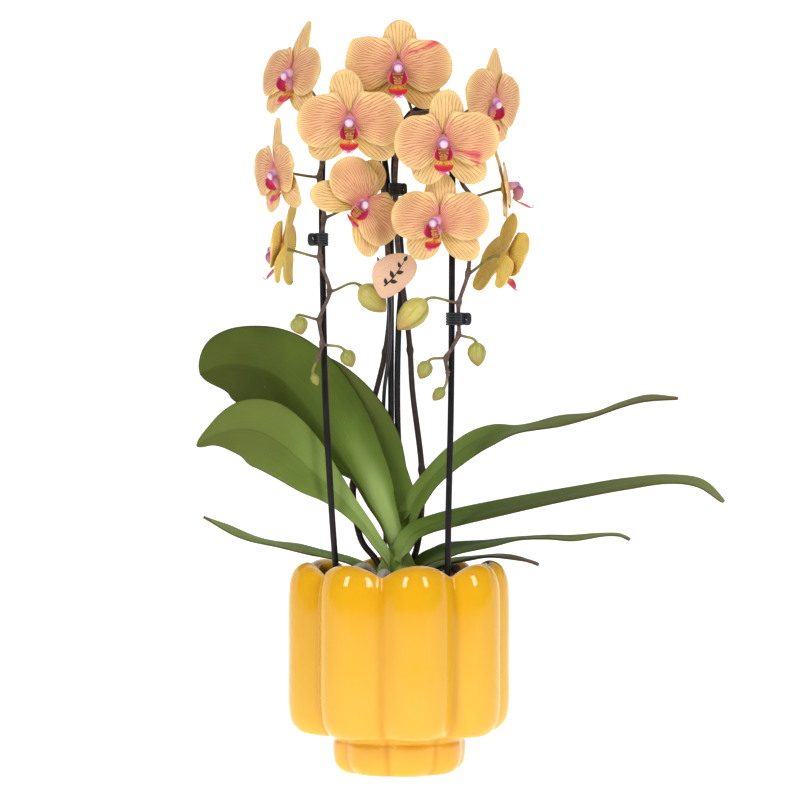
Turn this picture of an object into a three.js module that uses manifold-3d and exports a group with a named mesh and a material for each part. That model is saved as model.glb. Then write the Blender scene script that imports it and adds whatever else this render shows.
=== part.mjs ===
// A moth orchid in a lobed glazed pot. Two flower spikes climb wire hoops behind the leaves, arch
// over at the top and hang down in front, with blooms all the way and buds at their ends.
// Millimetres, +Z up, +X to the right, the front towards -Y. The origin is the middle of the
// pot's foot, on the surface that it stands on.

import * as THREE from 'three';
import { mergeVertices } from 'three/addons/utils/BufferGeometryUtils.js';
import Module from 'manifold-3d';

const wasm = await Module();
wasm.setup();

// ---- driving dimensions -----------------------------------------------------------------------

const clearance = 0.3; // left between neighbouring pieces
const smallStep = 0.1; // finest unevenness that a join keeps

const pot = {
  lobes: 8,
  lobeTurn: 11.5, // degrees from the front to the middle of the nearest lobe
  lobeRadius: 59.4,
  grooveRadius: 48.8,
  height: 111.3,
  notch: 7, // how far the rim dips between two lobes
  bodyBottom: 20,
  footRadius: 35.5,
  wall: 3.8,
  stepsPerLobe: 5,
};

const growPot = { bottom: 24.5, bottomRadius: 33.4, rim: 103.4, rimRadius: 43.6, wall: 1.2, sides: 20 };

const barkTop = 101.5;
const barkChips = 10;

const stakeRadius = 1.65;
const spikeRadius = { foot: 1.7, tip: 0.9 };
const spikeSteps = 32;
const pedicelRadius = 0.75;

const leafThickness = 1.4;
const tepalThickness = 0.8;
const lipThickness = 0.9;

const colours = {
  glaze: '#f0b432',
  nurseryPlastic: '#4a4a46',
  bark: '#6b4a30',
  leaf: '#5f7d3c',
  crown: '#8ca55a',
  root: '#a9a6a0',
  spike: '#4a3532',
  stake: '#1d1b1e',
  tepal: '#f6bd84',
  lip: '#c23a6b',
  bud: '#c4bd5a',
  clip: '#1a1c20',
  spring: '#b9bcc0',
  card: '#ebc3a5',
};

// ---- meshes, joins and cuts -------------------------------------------------------------------

const model = new THREE.Group();

function addPart(name, geometry, colour, roughness = 0.6, metalness = 0) {
  const material = new THREE.MeshStandardMaterial({ color: colour, roughness, metalness });
  const mesh = new THREE.Mesh(geometry, material);
  mesh.name = name;
  model.add(mesh);
  return mesh;
}

function fromTriangles(points, triangles) {
  const geometry = new THREE.BufferGeometry();
  geometry.setAttribute('position', new THREE.Float32BufferAttribute(points.flatMap((p) => [p.x, p.y, p.z]), 3));
  geometry.setIndex(triangles.flat());
  return geometry;
}

function solidFrom(geometry) {
  const bare = geometry.clone();
  bare.deleteAttribute('normal');
  bare.deleteAttribute('uv');
  const merged = mergeVertices(bare, 1e-3);
  const corners = merged.index.array;
  const kept = [];
  for (let i = 0; i < corners.length; i += 3) {
    const [a, b, c] = [corners[i], corners[i + 1], corners[i + 2]];
    if (a !== b && b !== c && a !== c) kept.push(a, b, c);
  }
  const mesh = new wasm.Mesh({
    numProp: 3,
    vertProperties: Float32Array.from(merged.attributes.position.array),
    triVerts: Uint32Array.from(kept),
  });
  return new wasm.Manifold(mesh);
}

function geometryFrom(solid) {
  const { numProp, vertProperties, triVerts } = solid.getMesh();
  const positions = [];
  for (let i = 0; i < vertProperties.length; i += numProp) {
    positions.push(vertProperties[i], vertProperties[i + 1], vertProperties[i + 2]);
  }
  const geometry = new THREE.BufferGeometry();
  geometry.setAttribute('position', new THREE.Float32BufferAttribute(positions, 3));
  geometry.setIndex([...triVerts]);
  return geometry;
}

function joined(geometries) {
  const solids = geometries.map(solidFrom);
  return geometryFrom(solids.reduce((sum, solid) => sum.add(solid)).simplify(smallStep));
}

function cutBy(geometry, cutters) {
  const solids = cutters.map(solidFrom);
  return geometryFrom(solids.reduce((rest, solid) => rest.subtract(solid), solidFrom(geometry)).simplify(smallStep));
}

function centreOf(ring) {
  return ring.reduce((sum, p) => sum.add(p), new THREE.Vector3()).divideScalar(ring.length);
}

// A closed solid through a row of rings. An end ring of one point closes to a tip, and any other
// end ring is capped flat.
function loft(route) {
  const tip = (ring) => (ring.length > 1 ? [[centreOf(ring)]] : []);
  const rings = [...tip(route[0]), ...route, ...tip(route.at(-1))];
  const points = [];
  const starts = rings.map((ring) => {
    const start = points.length;
    points.push(...ring);
    return start;
  });
  const triangles = [];
  for (let r = 0; r + 1 < rings.length; r += 1) {
    const [low, high] = [starts[r], starts[r + 1]];
    const sides = Math.max(rings[r].length, rings[r + 1].length);
    for (let i = 0; i < sides; i += 1) {
      const j = (i + 1) % sides;
      if (rings[r].length > 1) {
        triangles.push([low + i, low + j, rings[r + 1].length > 1 ? high + j : high]);
      }
      if (rings[r + 1].length > 1) {
        triangles.push([rings[r].length > 1 ? low + i : low, high + j, high + i]);
      }
    }
  }
  return fromTriangles(points, triangles);
}

// A round rod along a curve. Its radius is a function of the share of the length.
function rod(curve, radius, sides, steps) {
  const radiusAt = typeof radius === 'function' ? radius : () => radius;
  const rings = [];
  let side = null;
  for (let i = 0; i <= steps; i += 1) {
    const t = i / steps;
    const middle = curve.getPointAt(t);
    const along = curve.getTangentAt(t);
    if (side === null) {
      const helper = Math.abs(along.z) > 0.8 ? new THREE.Vector3(1, 0, 0) : new THREE.Vector3(0, 0, 1);
      side = new THREE.Vector3().crossVectors(along, helper);
    }
    side.addScaledVector(along, -side.dot(along)).normalize();
    const other = new THREE.Vector3().crossVectors(along, side);
    const ring = [];
    for (let k = 0; k < sides; k += 1) {
      const angle = (2 * Math.PI * k) / sides;
      ring.push(
        middle.clone()
          .addScaledVector(side, radiusAt(t) * Math.cos(angle))
          .addScaledVector(other, radiusAt(t) * Math.sin(angle)),
      );
    }
    rings.push(ring);
  }
  return loft(rings);
}

function curveThrough(points) {
  return new THREE.CatmullRomCurve3(points.map((p) => new THREE.Vector3(...p)), false, 'centripetal');
}

// A thin blade over a grid of rows and columns. surface(u, v) is its middle sheet, with u from 0 at
// the base to 1 at the tip and v from -1 to 1 across. The rows close up towards the tip by the
// share `crowding`. The last row is one point, and both faces are split along the same diagonals.
function blade(surface, thickness, rows, columns, start = 0, crowding = 1) {
  const step = 1e-3;
  const faces = [[], []];
  for (let i = 0; i <= rows; i += 1) {
    const even = i / rows;
    const u = start + (1 - start) * (even + crowding * (Math.sin(even * Math.PI * 0.5) - even));
    const count = i === rows ? 0 : columns;
    for (let k = 0; k <= count; k += 1) {
      const v = count === 0 ? 0 : (2 * k) / columns - 1;
      const atU = Math.min(u, 1 - 40 * step);
      const middle = surface(u, v);
      const along = surface(atU + step, v).sub(surface(atU - step, v));
      const across = surface(atU, Math.min(v + step, 1)).sub(surface(atU, Math.max(v - step, -1)));
      const up = new THREE.Vector3().crossVectors(along, across).normalize();
      faces[0].push(middle.clone().addScaledVector(up, thickness / 2));
      faces[1].push(middle.clone().addScaledVector(up, -thickness / 2));
    }
  }
  const points = [...faces[0], ...faces[1]];
  const under = faces[0].length;
  const width = columns + 1;
  const at = (i, k) => (i === rows ? rows * width : i * width + k);
  const triangles = [];
  const both = (a, b, c) => triangles.push([a, b, c], [under + a, under + c, under + b]);
  for (let i = 0; i < rows; i += 1) {
    for (let k = 0; k < columns; k += 1) {
      both(at(i, k), at(i + 1, k), at(i, k + 1));
      if (i + 1 < rows) both(at(i + 1, k), at(i + 1, k + 1), at(i, k + 1));
    }
  }
  const rim = [];
  for (let k = 0; k < columns; k += 1) rim.push([at(0, k), at(0, k + 1)]);
  for (let i = 0; i < rows; i += 1) rim.push([at(i, columns), at(i + 1, columns)]);
  for (let i = rows; i > 0; i -= 1) rim.push([at(i, 0), at(i - 1, 0)]);
  for (const [a, b] of rim) triangles.push([a, b, under + b], [a, under + b, under + a]);
  return fromTriangles(points, triangles);
}

// The half-width of a tepal: a narrow base, widest at the share `widest`, then a rounded tip.
function halfWidth(u, { width, widest, base, rise }) {
  if (u < widest) return width * (base + (1 - base) * (1 - ((widest - u) / widest) ** rise));
  return width * Math.sqrt(Math.max(0, 1 - ((u - widest) / (1 - widest)) ** 2.1));
}

function seededRandom(seed) {
  let state = seed;
  return () => {
    state = (state * 1664525 + 1013904223) % 4294967296;
    return state / 4294967296;
  };
}

// ---- the glazed pot ---------------------------------------------------------------------------

// One ring of the pot. Each lobe is an arc that bulges from the groove radius to the lobe radius,
// and the height falls from the lobe's middle to the grooves as a parabola.
function potRing([lobeR, lobeZ], [grooveR, grooveZ]) {
  if (lobeR === 0) return [new THREE.Vector3(0, 0, lobeZ)];
  const half = Math.PI / pot.lobes;
  const chord = grooveR * Math.sin(half);
  const foot = grooveR * Math.cos(half);
  const bulge = lobeR - foot;
  const arcRadius = (chord * chord + bulge * bulge) / (2 * bulge);
  const arcCentre = lobeR - arcRadius;
  const reach = Math.atan2(chord, foot - arcCentre);
  const ring = [];
  for (let lobe = 0; lobe < pot.lobes; lobe += 1) {
    const turn = THREE.MathUtils.degToRad(pot.lobeTurn - 90) + 2 * half * lobe;
    for (let i = 0; i < pot.stepsPerLobe; i += 1) {
      const share = (2 * i) / pot.stepsPerLobe - 1;
      const out = arcCentre + arcRadius * Math.cos(reach * share);
      const aside = arcRadius * Math.sin(reach * share);
      ring.push(new THREE.Vector3(
        out * Math.cos(turn) - aside * Math.sin(turn),
        out * Math.sin(turn) + aside * Math.cos(turn),
        grooveZ + (lobeZ - grooveZ) * (1 - share * share),
      ));
    }
  }
  return ring;
}

function decorPot() {
  const { lobeRadius: lobe, grooveRadius: groove, height: top, notch, bodyBottom: low, wall } = pot;
  const foot = pot.footRadius;
  const dip = top - notch;
  const corner = 13;
  const outside = [
    [[0, 0], [0, 0]],
    [[foot - 4.5, 0], [foot - 7, 0]],
    [[foot - 1, 1.6], [foot - 4, 1.6]],
    [[foot, 5], [foot - 3, 5]],
    [[foot, low - 4], [foot - 3, low - 4]],
    [[foot + 2, low], [foot - 0.5, low]],
    [[lobe - corner, low + 0.3], [groove - 3.5, low + 0.8]],
    [[lobe - corner * 0.5, low + corner * 0.134], [groove - 1.6, low + 4]],
    [[lobe - corner * 0.134, low + corner * 0.5], [groove - 0.5, low + 8]],
    [[lobe, low + corner], [groove, low + corner]],
    [[lobe, top - 16], [groove, dip - 14]],
    [[lobe - 1.3, top - 8], [groove - 0.2, dip - 7]],
    [[lobe - 4.7, top - 2.1], [groove - 0.6, dip - 2.4]],
    [[lobe - 9.4, top], [groove - 1.3, dip]],
  ];
  const inside = [
    [[lobe - 12.2, top - 0.7], [groove - 3.4, dip - 0.7]],
    [[lobe - 12.6, top - 4], [groove - wall, dip - 4]],
    [[lobe - 8, top - 9.5], [groove - wall, dip - 9]],
    [[lobe - wall, top - 18], [groove - wall, dip - 16]],
    [[lobe - wall, low + corner], [groove - wall, low + corner]],
    [[lobe - corner, low + 4.6], [groove - 6.5, low + 4.8]],
    [[foot - 5.5, low + 4], [foot - 7.5, low + 4]],
    [[foot - 5, 7], [foot - 7.5, 7]],
    [[0, 5], [0, 5]],
  ];
  return loft([...outside, ...inside].map(([atLobe, atGroove]) => potRing(atLobe, atGroove)));
}

// ---- the nursery pot and its bark -------------------------------------------------------------

function turned(profile, sides) {
  return new THREE.LatheGeometry(profile.map(([r, z]) => new THREE.Vector2(r, z)), sides).rotateX(Math.PI / 2);
}

function nurseryPot() {
  const { bottom, bottomRadius, rim, rimRadius, wall, sides } = growPot;
  const cup = turned([
    [0, bottom], [bottomRadius, bottom], [rimRadius - 1.6, rim - 3.4], [rimRadius, rim - 3],
    [rimRadius, rim], [rimRadius - 1.6 - wall, rim], [bottomRadius - wall, bottom + wall], [0, bottom + wall],
  ], sides);
  const holes = [45, 135, 225, 315].map((angle) => {
    const turn = THREE.MathUtils.degToRad(angle);
    const hole = new THREE.CylinderGeometry(3.5, 3.5, 4 * wall, 8).rotateX(Math.PI / 2);
    return hole.translate(18 * Math.cos(turn), 18 * Math.sin(turn), bottom + wall / 2);
  });
  return cutBy(cup, holes);
}

function barkBed() {
  const { bottom, bottomRadius, rim, rimRadius, wall, sides } = growPot;
  const gap = clearance + 0.1;
  const slope = (rimRadius - 1.6 - bottomRadius) / (rim - 3.4 - bottom);
  const insideAt = (z) => bottomRadius + slope * (z - bottom - wall) - wall - gap;
  const bed = turned([
    [0, bottom + wall + gap], [insideAt(bottom + wall), bottom + wall + gap],
    [insideAt(barkTop - 5), barkTop - 2.5], [insideAt(barkTop) - 9, barkTop], [0, barkTop + 0.6],
  ], sides);
  const random = seededRandom(7);
  const chips = [];
  for (let i = 0; i < barkChips; i += 1) {
    const out = 17 + 14 * Math.sqrt((i + 0.5) / barkChips);
    const turn = i * 2.4 + random();
    const size = [9 + 6 * random(), 7 + 3 * random(), 4 + 2 * random()];
    const chip = new THREE.BoxGeometry(...size);
    chip.rotateX(0.7 * (random() - 0.5)).rotateY(0.7 * (random() - 0.5)).rotateZ(6.3 * random());
    chips.push(chip.translate(out * Math.cos(turn), out * Math.sin(turn), barkTop + random() - 0.8));
  }
  return joined([bed, ...chips]);
}

// ---- hoops ------------------------------------------------------------------------------------

const hoops = {
  hoop_left: [
    [-26, -15, 48], [-30.5, -18.5, 80], [-32.9, -19.8, 104], [-35, -26, 133], [-36.3, -28, 155],
    [-38.5, -28.5, 197], [-39.9, -29, 257], [-40.4, -29.5, 300], [-39.3, -29, 332], [-36, -28.5, 348],
    [-30, -27, 357], [-21.6, -23, 357], [-14.4, -17.5, 348], [-9.8, -12, 334], [-5.9, -3, 307],
    [-4.6, 2.5, 280], [-4.5, 7.5, 250], [-4.5, 17, 186], [-3.5, 20.5, 111], [-3, 20.5, 48],
  ],
  hoop_right: [
    [17, -20, 48], [21.5, -26, 80], [24.7, -30, 104], [25.5, -31, 140], [26.8, -31.5, 197],
    [27.3, -32, 270], [27.4, -32, 318], [26.2, -32, 339], [22, -30.5, 347], [14, -26, 349.5],
    [6, -20, 347], [-0.4, -15.5, 336], [-2.8, -12, 322], [-2.4, -9, 306], [0.2, -4.4, 284],
    [1.2, 0.5, 262], [-0.5, 6.5, 235], [-1, 16.8, 186], [3, 20.5, 111], [3.5, 20, 48],
  ],
};

function hoop(route, extra = 0) {
  return rod(curveThrough(route), stakeRadius + extra, 6, 31);
}

// ---- leaves -----------------------------------------------------------------------------------

// Each leaf follows its rib. A station gives x, y, z, the roll about the rib, the fold of both
// halves towards the upper face, in degrees, and the half-width. Roll 0 lies flat, and a left leaf
// shows its upper face to the front at 90, a right leaf at -90. The tip rounds off after `round`.
const leaves = {
  leaf_left_top: {
    round: 0.84, rows: 10, columns: 4,
    stations: [[-3, -2, 113.5, 52, 25, 6], [-9.3, 0, 130.5, 48, 40, 11.2], [-16, 2, 141, 46, 43, 17],
      [-23.5, 3.5, 154, 47, 42, 21.3], [-36.6, 5.5, 173.3, 58, 30, 26.8], [-53.2, 5.5, 195.5, 68, 20, 29],
      [-66, 4.5, 208.5, 74, 13, 27], [-78.6, 2, 213.6, 72, 9, 24], [-93, -2, 214.8, 74, 7, 18.5], [-105.5, -6, 210.5, 70, 6, 12]],
  },
  leaf_left_rear: {
    round: 0.7, rows: 7, columns: 4,
    stations: [[-4, 4.8, 108, 70, 5, 4], [-4.6, 10.2, 117, 84, 5, 8], [-6.1, 13.6, 138.2, 87, 5, 15.5],
      [-14.7, 13.5, 155.1, 88, 5, 20], [-22.1, 13.3, 171.6, 88, 5, 23], [-32.8, 13.3, 187.1, 88, 5, 23.5],
      [-46.7, 13, 201, 86, 5, 21.5], [-59.4, 12.2, 209.5, 84, 4, 18], [-69, 11.4, 212.7, 80, 4, 13]],
  },
  leaf_left_front: {
    round: 0.97, rows: 11, columns: 4,
    stations: [[-6.5, -10, 105, 60, 22, 4], [-8, -12, 115, 72, 22, 4.4], [-12.6, -14.5, 122.5, 80, 22, 4.8],
      [-17.3, -16, 129.8, 82, 20, 5.6], [-26.5, -17.5, 140.7, 84, 16, 7.8], [-35.7, -18.2, 150.2, 84, 12, 10.2],
      [-45.4, -19.5, 158.7, 82, 9, 13], [-54, -20.5, 166.7, 80, 8, 15.8], [-62.2, -21.2, 173.4, 78, 7, 17.8],
      [-70.6, -22, 178.6, 76, 6, 18.8], [-79.9, -23, 181, 74, 6, 16.8], [-89.1, -24, 180.2, 70, 6, 12],
      [-98.1, -25.2, 177.4, 68, 6, 5.6], [-105.9, -26, 172.5, 66, 6, 1.6]],
  },
  leaf_left_low: {
    round: 0.8, rows: 9, columns: 2,
    stations: [[-9, 0, 104, 8, 8, 4.5], [-15.7, 1, 106.8, 9, 8, 6.5], [-27.1, 2, 111.2, 7, 6, 10],
      [-40.3, 2, 114.8, 7, 5, 12], [-51.7, 1, 117.5, 7, 4, 12.5], [-65.2, 0, 120.1, 5, 3, 12],
      [-78.6, -1, 123.6, 6, 3, 10.5], [-92.2, -1.5, 129.1, 9, 3, 8], [-103.8, -2, 134.8, 10, 3, 4]],
  },
  leaf_right_top: {
    round: 0.95, rows: 13, columns: 4,
    stations: [[2.4, 5.2, 112, -80, 10, 4.5], [2.6, 7, 122, -74, 10, 6], [3.6, 7.4, 133, -56, 10, 7.5],
      [13.4, 6.5, 149.6, -37, 8, 9.8], [25.3, 4.8, 162.8, -30, 6, 12.8], [39.5, 3, 173.8, -26, 5, 15],
      [50, 1.6, 178.4, -21, 4, 15.3], [61.5, 0.4, 180.7, -9, 3, 15.2], [71.5, -0.6, 182.6, -7, 3, 15],
      [86.3, -1.6, 185.9, -10, 3, 14.5], [102.9, -3.4, 188.9, -5, 3, 13.5], [116.9, -5, 193.9, -8, 3, 12],
      [130.5, -6.8, 197.5, -9, 2, 10], [147, -8, 198.4, -9, 2, 4]],
  },
  leaf_right_mid: {
    round: 0.88, rows: 10, columns: 4,
    stations: [[0.4, -10.5, 111, -50, 20, 5.5], [2, -11, 118, -44, 18, 7], [7.4, -10.8, 125.6, -28, 14, 9],
      [15, -10.2, 129.6, -20, 10, 11], [27.7, -9.5, 133.8, -17.5, 7, 13], [59.3, -8, 140.8, -14, 5, 15],
      [97.2, -7.5, 148.2, -10, 4, 15], [120, -8.4, 152.5, -9.5, 4, 14.4], [142, -10.4, 155.1, -9.5, 3, 13],
      [158.4, -12.6, 152.5, -11, 3, 10.4], [170.6, -14, 143.1, -13, 3, 6]],
  },
  leaf_right_low: {
    round: 0.86, rows: 10, columns: 2,
    stations: [[8, -3.2, 107.6, -20, 8, 5], [13.4, -2.6, 112, -20, 8, 8], [21.5, -1.6, 115.2, -16, 7, 10.4],
      [29.1, 0, 117.6, -11, 6, 12.2], [46.9, 3, 120.4, -4, 4, 13], [61, 5, 122.7, -1, 3, 13],
      [78.7, 6.4, 123.4, -1.5, 3, 12.2], [91.4, 7, 123.2, -3, 3, 11.3], [107, 8, 124.8, -2, 3, 9.6],
      [117, 8, 124.6, -3, 3, 7.5], [122.8, 8, 122.4, -5, 2, 5]],
  },
  leaf_right_under: {
    round: 0.8, rows: 8, columns: 2,
    stations: [[9, 5.4, 102.5, -2, 4, 3.5], [15.3, 11.5, 106.4, -4, 4, 5.5], [28.1, 16, 110.5, -4, 3, 7.5],
      [38.4, 16.5, 112.2, -2, 2, 8.5], [50, 16.2, 113.2, -2, 2, 8.5], [61, 15.6, 112.6, -3, 2, 7.5],
      [69, 15, 110.6, -4, 2, 6], [74.6, 15, 108.6, -5, 2, 4]],
  },
};

function leafSurface({ stations, round }, grow = 0) {
  const curve = curveThrough(stations.map(([x, y, z]) => [x, y, z]));
  const track = (column) => new THREE.SplineCurve(stations.map((row, i) => new THREE.Vector2(i, row[column])));
  const [rolls, folds, halves] = [track(3), track(4), track(5)];
  return (u, v) => {
    const t = Math.min(Math.max(u, 0), 1);
    const along = curve.getTangent(t);
    const middle = curve.getPoint(t).addScaledVector(along, Math.min(u, 0) * curve.getLength());
    const level = new THREE.Vector3(along.y, -along.x, 0).normalize();
    const up = new THREE.Vector3().crossVectors(level, along);
    const roll = THREE.MathUtils.degToRad(rolls.getPoint(t).y);
    const fold = THREE.MathUtils.degToRad(folds.getPoint(t).y);
    const across = level.clone().multiplyScalar(Math.cos(roll)).addScaledVector(up, Math.sin(roll));
    const face = up.clone().multiplyScalar(Math.cos(roll)).addScaledVector(level, -Math.sin(roll));
    const past = Math.max(0, (t - round) / (1 - round));
    const reach = v * (halves.getPoint(t).y * Math.sqrt(1 - past ** 2.2) + grow);
    return middle
      .addScaledVector(across, reach * Math.cos(fold))
      .addScaledVector(face, Math.abs(reach) * Math.sin(fold));
  };
}

function leaf(shape, extra = 0) {
  const thickness = leafThickness + 2 * extra;
  return blade(leafSurface(shape, extra), thickness, shape.rows, shape.columns, extra > 0 ? -0.006 : 0, 0.4);
}

// ---- crown and roots --------------------------------------------------------------------------

function crownStem() {
  const rings = [[91, 7], [97, 10], [105, 10.5], [112, 8], [117, 5.5], [121, 3]];
  const shaped = rings.map(([z, radius]) => {
    const ring = [];
    for (let i = 0; i < 8; i += 1) {
      const angle = (2 * Math.PI * i) / 8;
      ring.push(new THREE.Vector3(-1 + 1.1 * radius * Math.cos(angle), -2 + 0.85 * radius * Math.sin(angle), z));
    }
    return ring;
  });
  return loft(shaped);
}

const roots = {
  root_left: { radius: 2.1, route: [[-12, -8, 101], [-16, -13, 108], [-20, -18, 109.8], [-24, -23, 107], [-26, -26, 98]] },
  root_front: { radius: 2.5, route: [[-3, -15, 99], [-6, -21, 104.5], [-9, -29, 106.3], [-10.5, -34, 103], [-10.5, -34.5, 95]] },
  root_rear: { radius: 2.3, route: [[11, 7, 100.5], [19, 17, 105.5], [27, 24, 107], [32, 19.5, 105], [32.5, 16, 96]] },
};

function root({ radius, route }, extra = 0) {
  return rod(curveThrough(route), (t) => (radius + extra) * (1 - 0.2 * t), 6, 8);
}

// ---- blooms -----------------------------------------------------------------------------------

// Where each bloom's tepals meet, the way it faces, its roll and half its width. yaw 0 faces the
// front and grows towards the right, pitch lifts the face and roll turns the top to the right.
const blooms = {
  bloom_01: { at: [-57.3, -19, 367.5], yaw: -57, pitch: 14, roll: 3, size: 27, lengths: [1.12, 0.96, 0.96, 1, 1] },
  bloom_02: {
    at: [-1, -42, 368.3], yaw: 2, pitch: -8, roll: 0, size: 28,
    turns: [85, -43, -131, 3, 172], lengths: [0.88, 0.99, 0.84, 1.01, 0.97],
  },
  bloom_03: {
    at: [-25.4, -52, 339.5], yaw: -3, pitch: -10, roll: 0, size: 28,
    turns: [97, -39, -139, 3, 181], lengths: [0.97, 1, 0.96, 0.98, 0.98],
  },
  bloom_04: {
    at: [22.5, -62, 327.9], yaw: 0, pitch: -10, roll: 0, size: 28,
    turns: [85, -43, -122, 8, 180], lengths: [0.97, 1, 0.85, 1.02, 0.9],
  },
  bloom_05: {
    at: [20.8, -50, 288.3], yaw: -10, pitch: -10, roll: 0, size: 26,
    turns: [89, -46, -130, 9, 168], lengths: [0.98, 1.01, 0.93, 0.99, 0.98],
  },
  bloom_06: {
    at: [-19.9, -40, 298.8], yaw: 26, pitch: -6, roll: 40, size: 26,
    turns: [106, -33, -150, -3, 161], lengths: [0.92, 1.12, 1.08, 1.02, 0.98],
  },
  bloom_07: { at: [-64.9, -30, 315.2], yaw: -68, pitch: -4, roll: -2, size: 26, lengths: [1.08, 1, 1, 0.98, 0.98] },
  bloom_08: { at: [-60.8, -25, 275.6], yaw: -102, pitch: 8, roll: 0, size: 25 },
  bloom_09: { at: [50.3, -28, 352.9], yaw: 60, pitch: -6, roll: 3, size: 27, lengths: [1.02, 0.96, 0.96, 0.96, 1.06] },
  bloom_10: { at: [55.5, -22, 307.4], yaw: 96, pitch: 9, roll: 0, size: 23.5, lengths: [0.96, 0.84, 0.84, 0.98, 0.98] },
  bloom_11: { at: [53.8, -32, 270.5], yaw: 116, pitch: -20, roll: 0, size: 25 },
};

// Bloom frame: x to the bloom's own right, y up its dorsal sepal, z out of its face. Lengths and
// widths are shares of half the bloom's width. The order is dorsal sepal, right and left lateral
// sepals, right and left petals.
const usualTurns = [90, -42, -138, 5, 175];
const usualLengths = [0.96, 0.96, 0.96, 1, 1];
const sepal = { width: 0.32, widest: 0.56, base: 0.35, rise: 1.5, layer: -1.3, bend: -0.05, rows: 4, columns: 2 };
const petal = { width: 0.49, widest: 0.54, base: 0.24, rise: 1.7, layer: 1.2, bend: -0.04, rows: 5, columns: 3 };
const tepals = [sepal, sepal, sepal, { ...petal, lift: 0.02 }, { ...petal, lift: -0.02 }];
const hubRadius = 5;
const hubDepth = 2.6;

function bloomFrame({ at, yaw, pitch, roll }) {
  const [turn, nod, lean] = [yaw, pitch, roll].map(THREE.MathUtils.degToRad);
  const face = new THREE.Vector3(Math.sin(turn) * Math.cos(nod), -Math.cos(turn) * Math.cos(nod), Math.sin(nod));
  const right = new THREE.Vector3(Math.cos(turn), Math.sin(turn), 0);
  const up = new THREE.Vector3().crossVectors(face, right);
  const x = right.clone().multiplyScalar(Math.cos(lean)).addScaledVector(up, -Math.sin(lean));
  const y = right.clone().multiplyScalar(Math.sin(lean)).addScaledVector(up, Math.cos(lean));
  return new THREE.Matrix4().makeBasis(x, y, face).setPosition(...at);
}

// A tepal lies on a straight rib. It arches forward in the middle, falls back at the tip and, on
// the petals, rolls back towards its edges.
function tepalSurface(shape, size, turn, length) {
  const angle = THREE.MathUtils.degToRad(turn);
  const rib = new THREE.Vector3(Math.cos(angle), Math.sin(angle), 0);
  const across = new THREE.Vector3(-Math.sin(angle), Math.cos(angle), 0);
  return (u, v) => {
    const reach = v * size * halfWidth(u, shape) + (shape.lift ?? 0) * size * Math.sin(Math.PI * u);
    const arch = 0.03 * Math.sin(Math.PI * u) - 0.03 * v * v * Math.sin(Math.PI * Math.min(u, 0.9));
    const depth = shape.layer + size * (arch + shape.bend * u * u);
    return new THREE.Vector3(0, 0, depth)
      .addScaledVector(rib, size * length * u)
      .addScaledVector(across, reach);
  };
}

function hub() {
  return new THREE.SphereGeometry(1, 6, 3).rotateX(Math.PI / 2).scale(hubRadius, hubRadius, hubDepth);
}

function bloomTepals(bloom) {
  const { turns = usualTurns, lengths = usualLengths, size } = bloom;
  const sheets = tepals.map((shape, i) => {
    const surface = tepalSurface(shape, size, turns[i], lengths[i]);
    return blade(surface, tepalThickness, shape.rows, shape.columns, 0.12);
  });
  return joined([hub(), ...sheets]).applyMatrix4(bloomFrame(bloom));
}

// The column with its cap, two cupped side lobes and the middle lobe with two tendrils.
function bloomLip(bloom) {
  const s = bloom.size / 28;
  const front = hubDepth + clearance;
  const column = loft([[0, 2.6, -1.2], [2.2, 2.8, -0.8], [4.6, 2.3, 0.6], [6.3, 1.3, 0.7]].map(
    ([z, radius, y]) => {
      const ring = [];
      for (let i = 0; i < 5; i += 1) {
        const angle = (2 * Math.PI * (i + 0.25)) / 5;
        ring.push(new THREE.Vector3(radius * s * Math.cos(angle), s * (radius * Math.sin(angle) + y), front + z * s));
      }
      return ring;
    },
  ));
  const sideLobe = (side) => blade((u, v) => {
    const half = 2.4 * Math.sin(Math.PI * Math.min(0.9, 0.2 + 0.75 * u));
    return new THREE.Vector3(
      side * s * (0.8 + 4 * Math.sin(1.6 * u)),
      s * (-1.6 + 2.4 * u + half * v),
      front + s * (1.3 + 4 * u - 0.4 * half * v),
    );
  }, lipThickness, 2, 2);
  const middleLobe = blade((u, v) => new THREE.Vector3(
    s * v * (1.3 + 3.4 * Math.sin(Math.PI * Math.min(0.94, 0.12 + 0.86 * u)) ** 1.5),
    s * (-2.4 - 11.6 * u + 1.1 * v * v),
    front + s * (1.6 + 8 * u - 2.4 * u * u),
  ), lipThickness, 4, 2);
  const tendril = (side) => loft([
    [[0, -10.8, 5.6], [1.4, -11.6, 6.4], [0.6, -10.6, 6.9]],
    [[3.6, -13.8, 10.2]],
  ].map((ring) => {
    const corners = ring.map(([x, y, z]) => new THREE.Vector3(side * x * s, y * s, front + z * s));
    return side > 0 ? corners : corners.reverse();
  }));
  return joined([column, sideLobe(1), sideLobe(-1), middleLobe, tendril(1), tendril(-1)])
    .applyMatrix4(bloomFrame(bloom));
}

// ---- buds -------------------------------------------------------------------------------------

// Each bud from the end of its stalk to its tip, and its greatest radius.
const buds = {
  bud_left_1: { from: [-20.6, -17, 256.6], to: [-7.2, -19, 243], radius: 6.9 },
  bud_left_2: { from: [-53.3, -36, 239.9], to: [-50.6, -37, 230.6], radius: 4.8 },
  bud_left_3: { from: [-28.6, -36, 222.6], to: [-24.3, -37, 213.8], radius: 4.2 },
  bud_left_4: { from: [-44.9, -36, 210.3], to: [-42.6, -37, 204.2], radius: 2.3 },
  bud_right_1: { from: [13.8, -31, 248.8], to: [-0.9, -33, 233.3], radius: 7.3 },
  bud_right_2: { from: [39.6, -38, 226.8], to: [40.7, -39, 214], radius: 5 },
  bud_right_3: { from: [15.1, -38, 216.9], to: [10.6, -39, 207.6], radius: 4.2 },
  bud_right_4: { from: [23.1, -38, 202.9], to: [17.3, -39, 196.5], radius: 3.2 },
};

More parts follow.
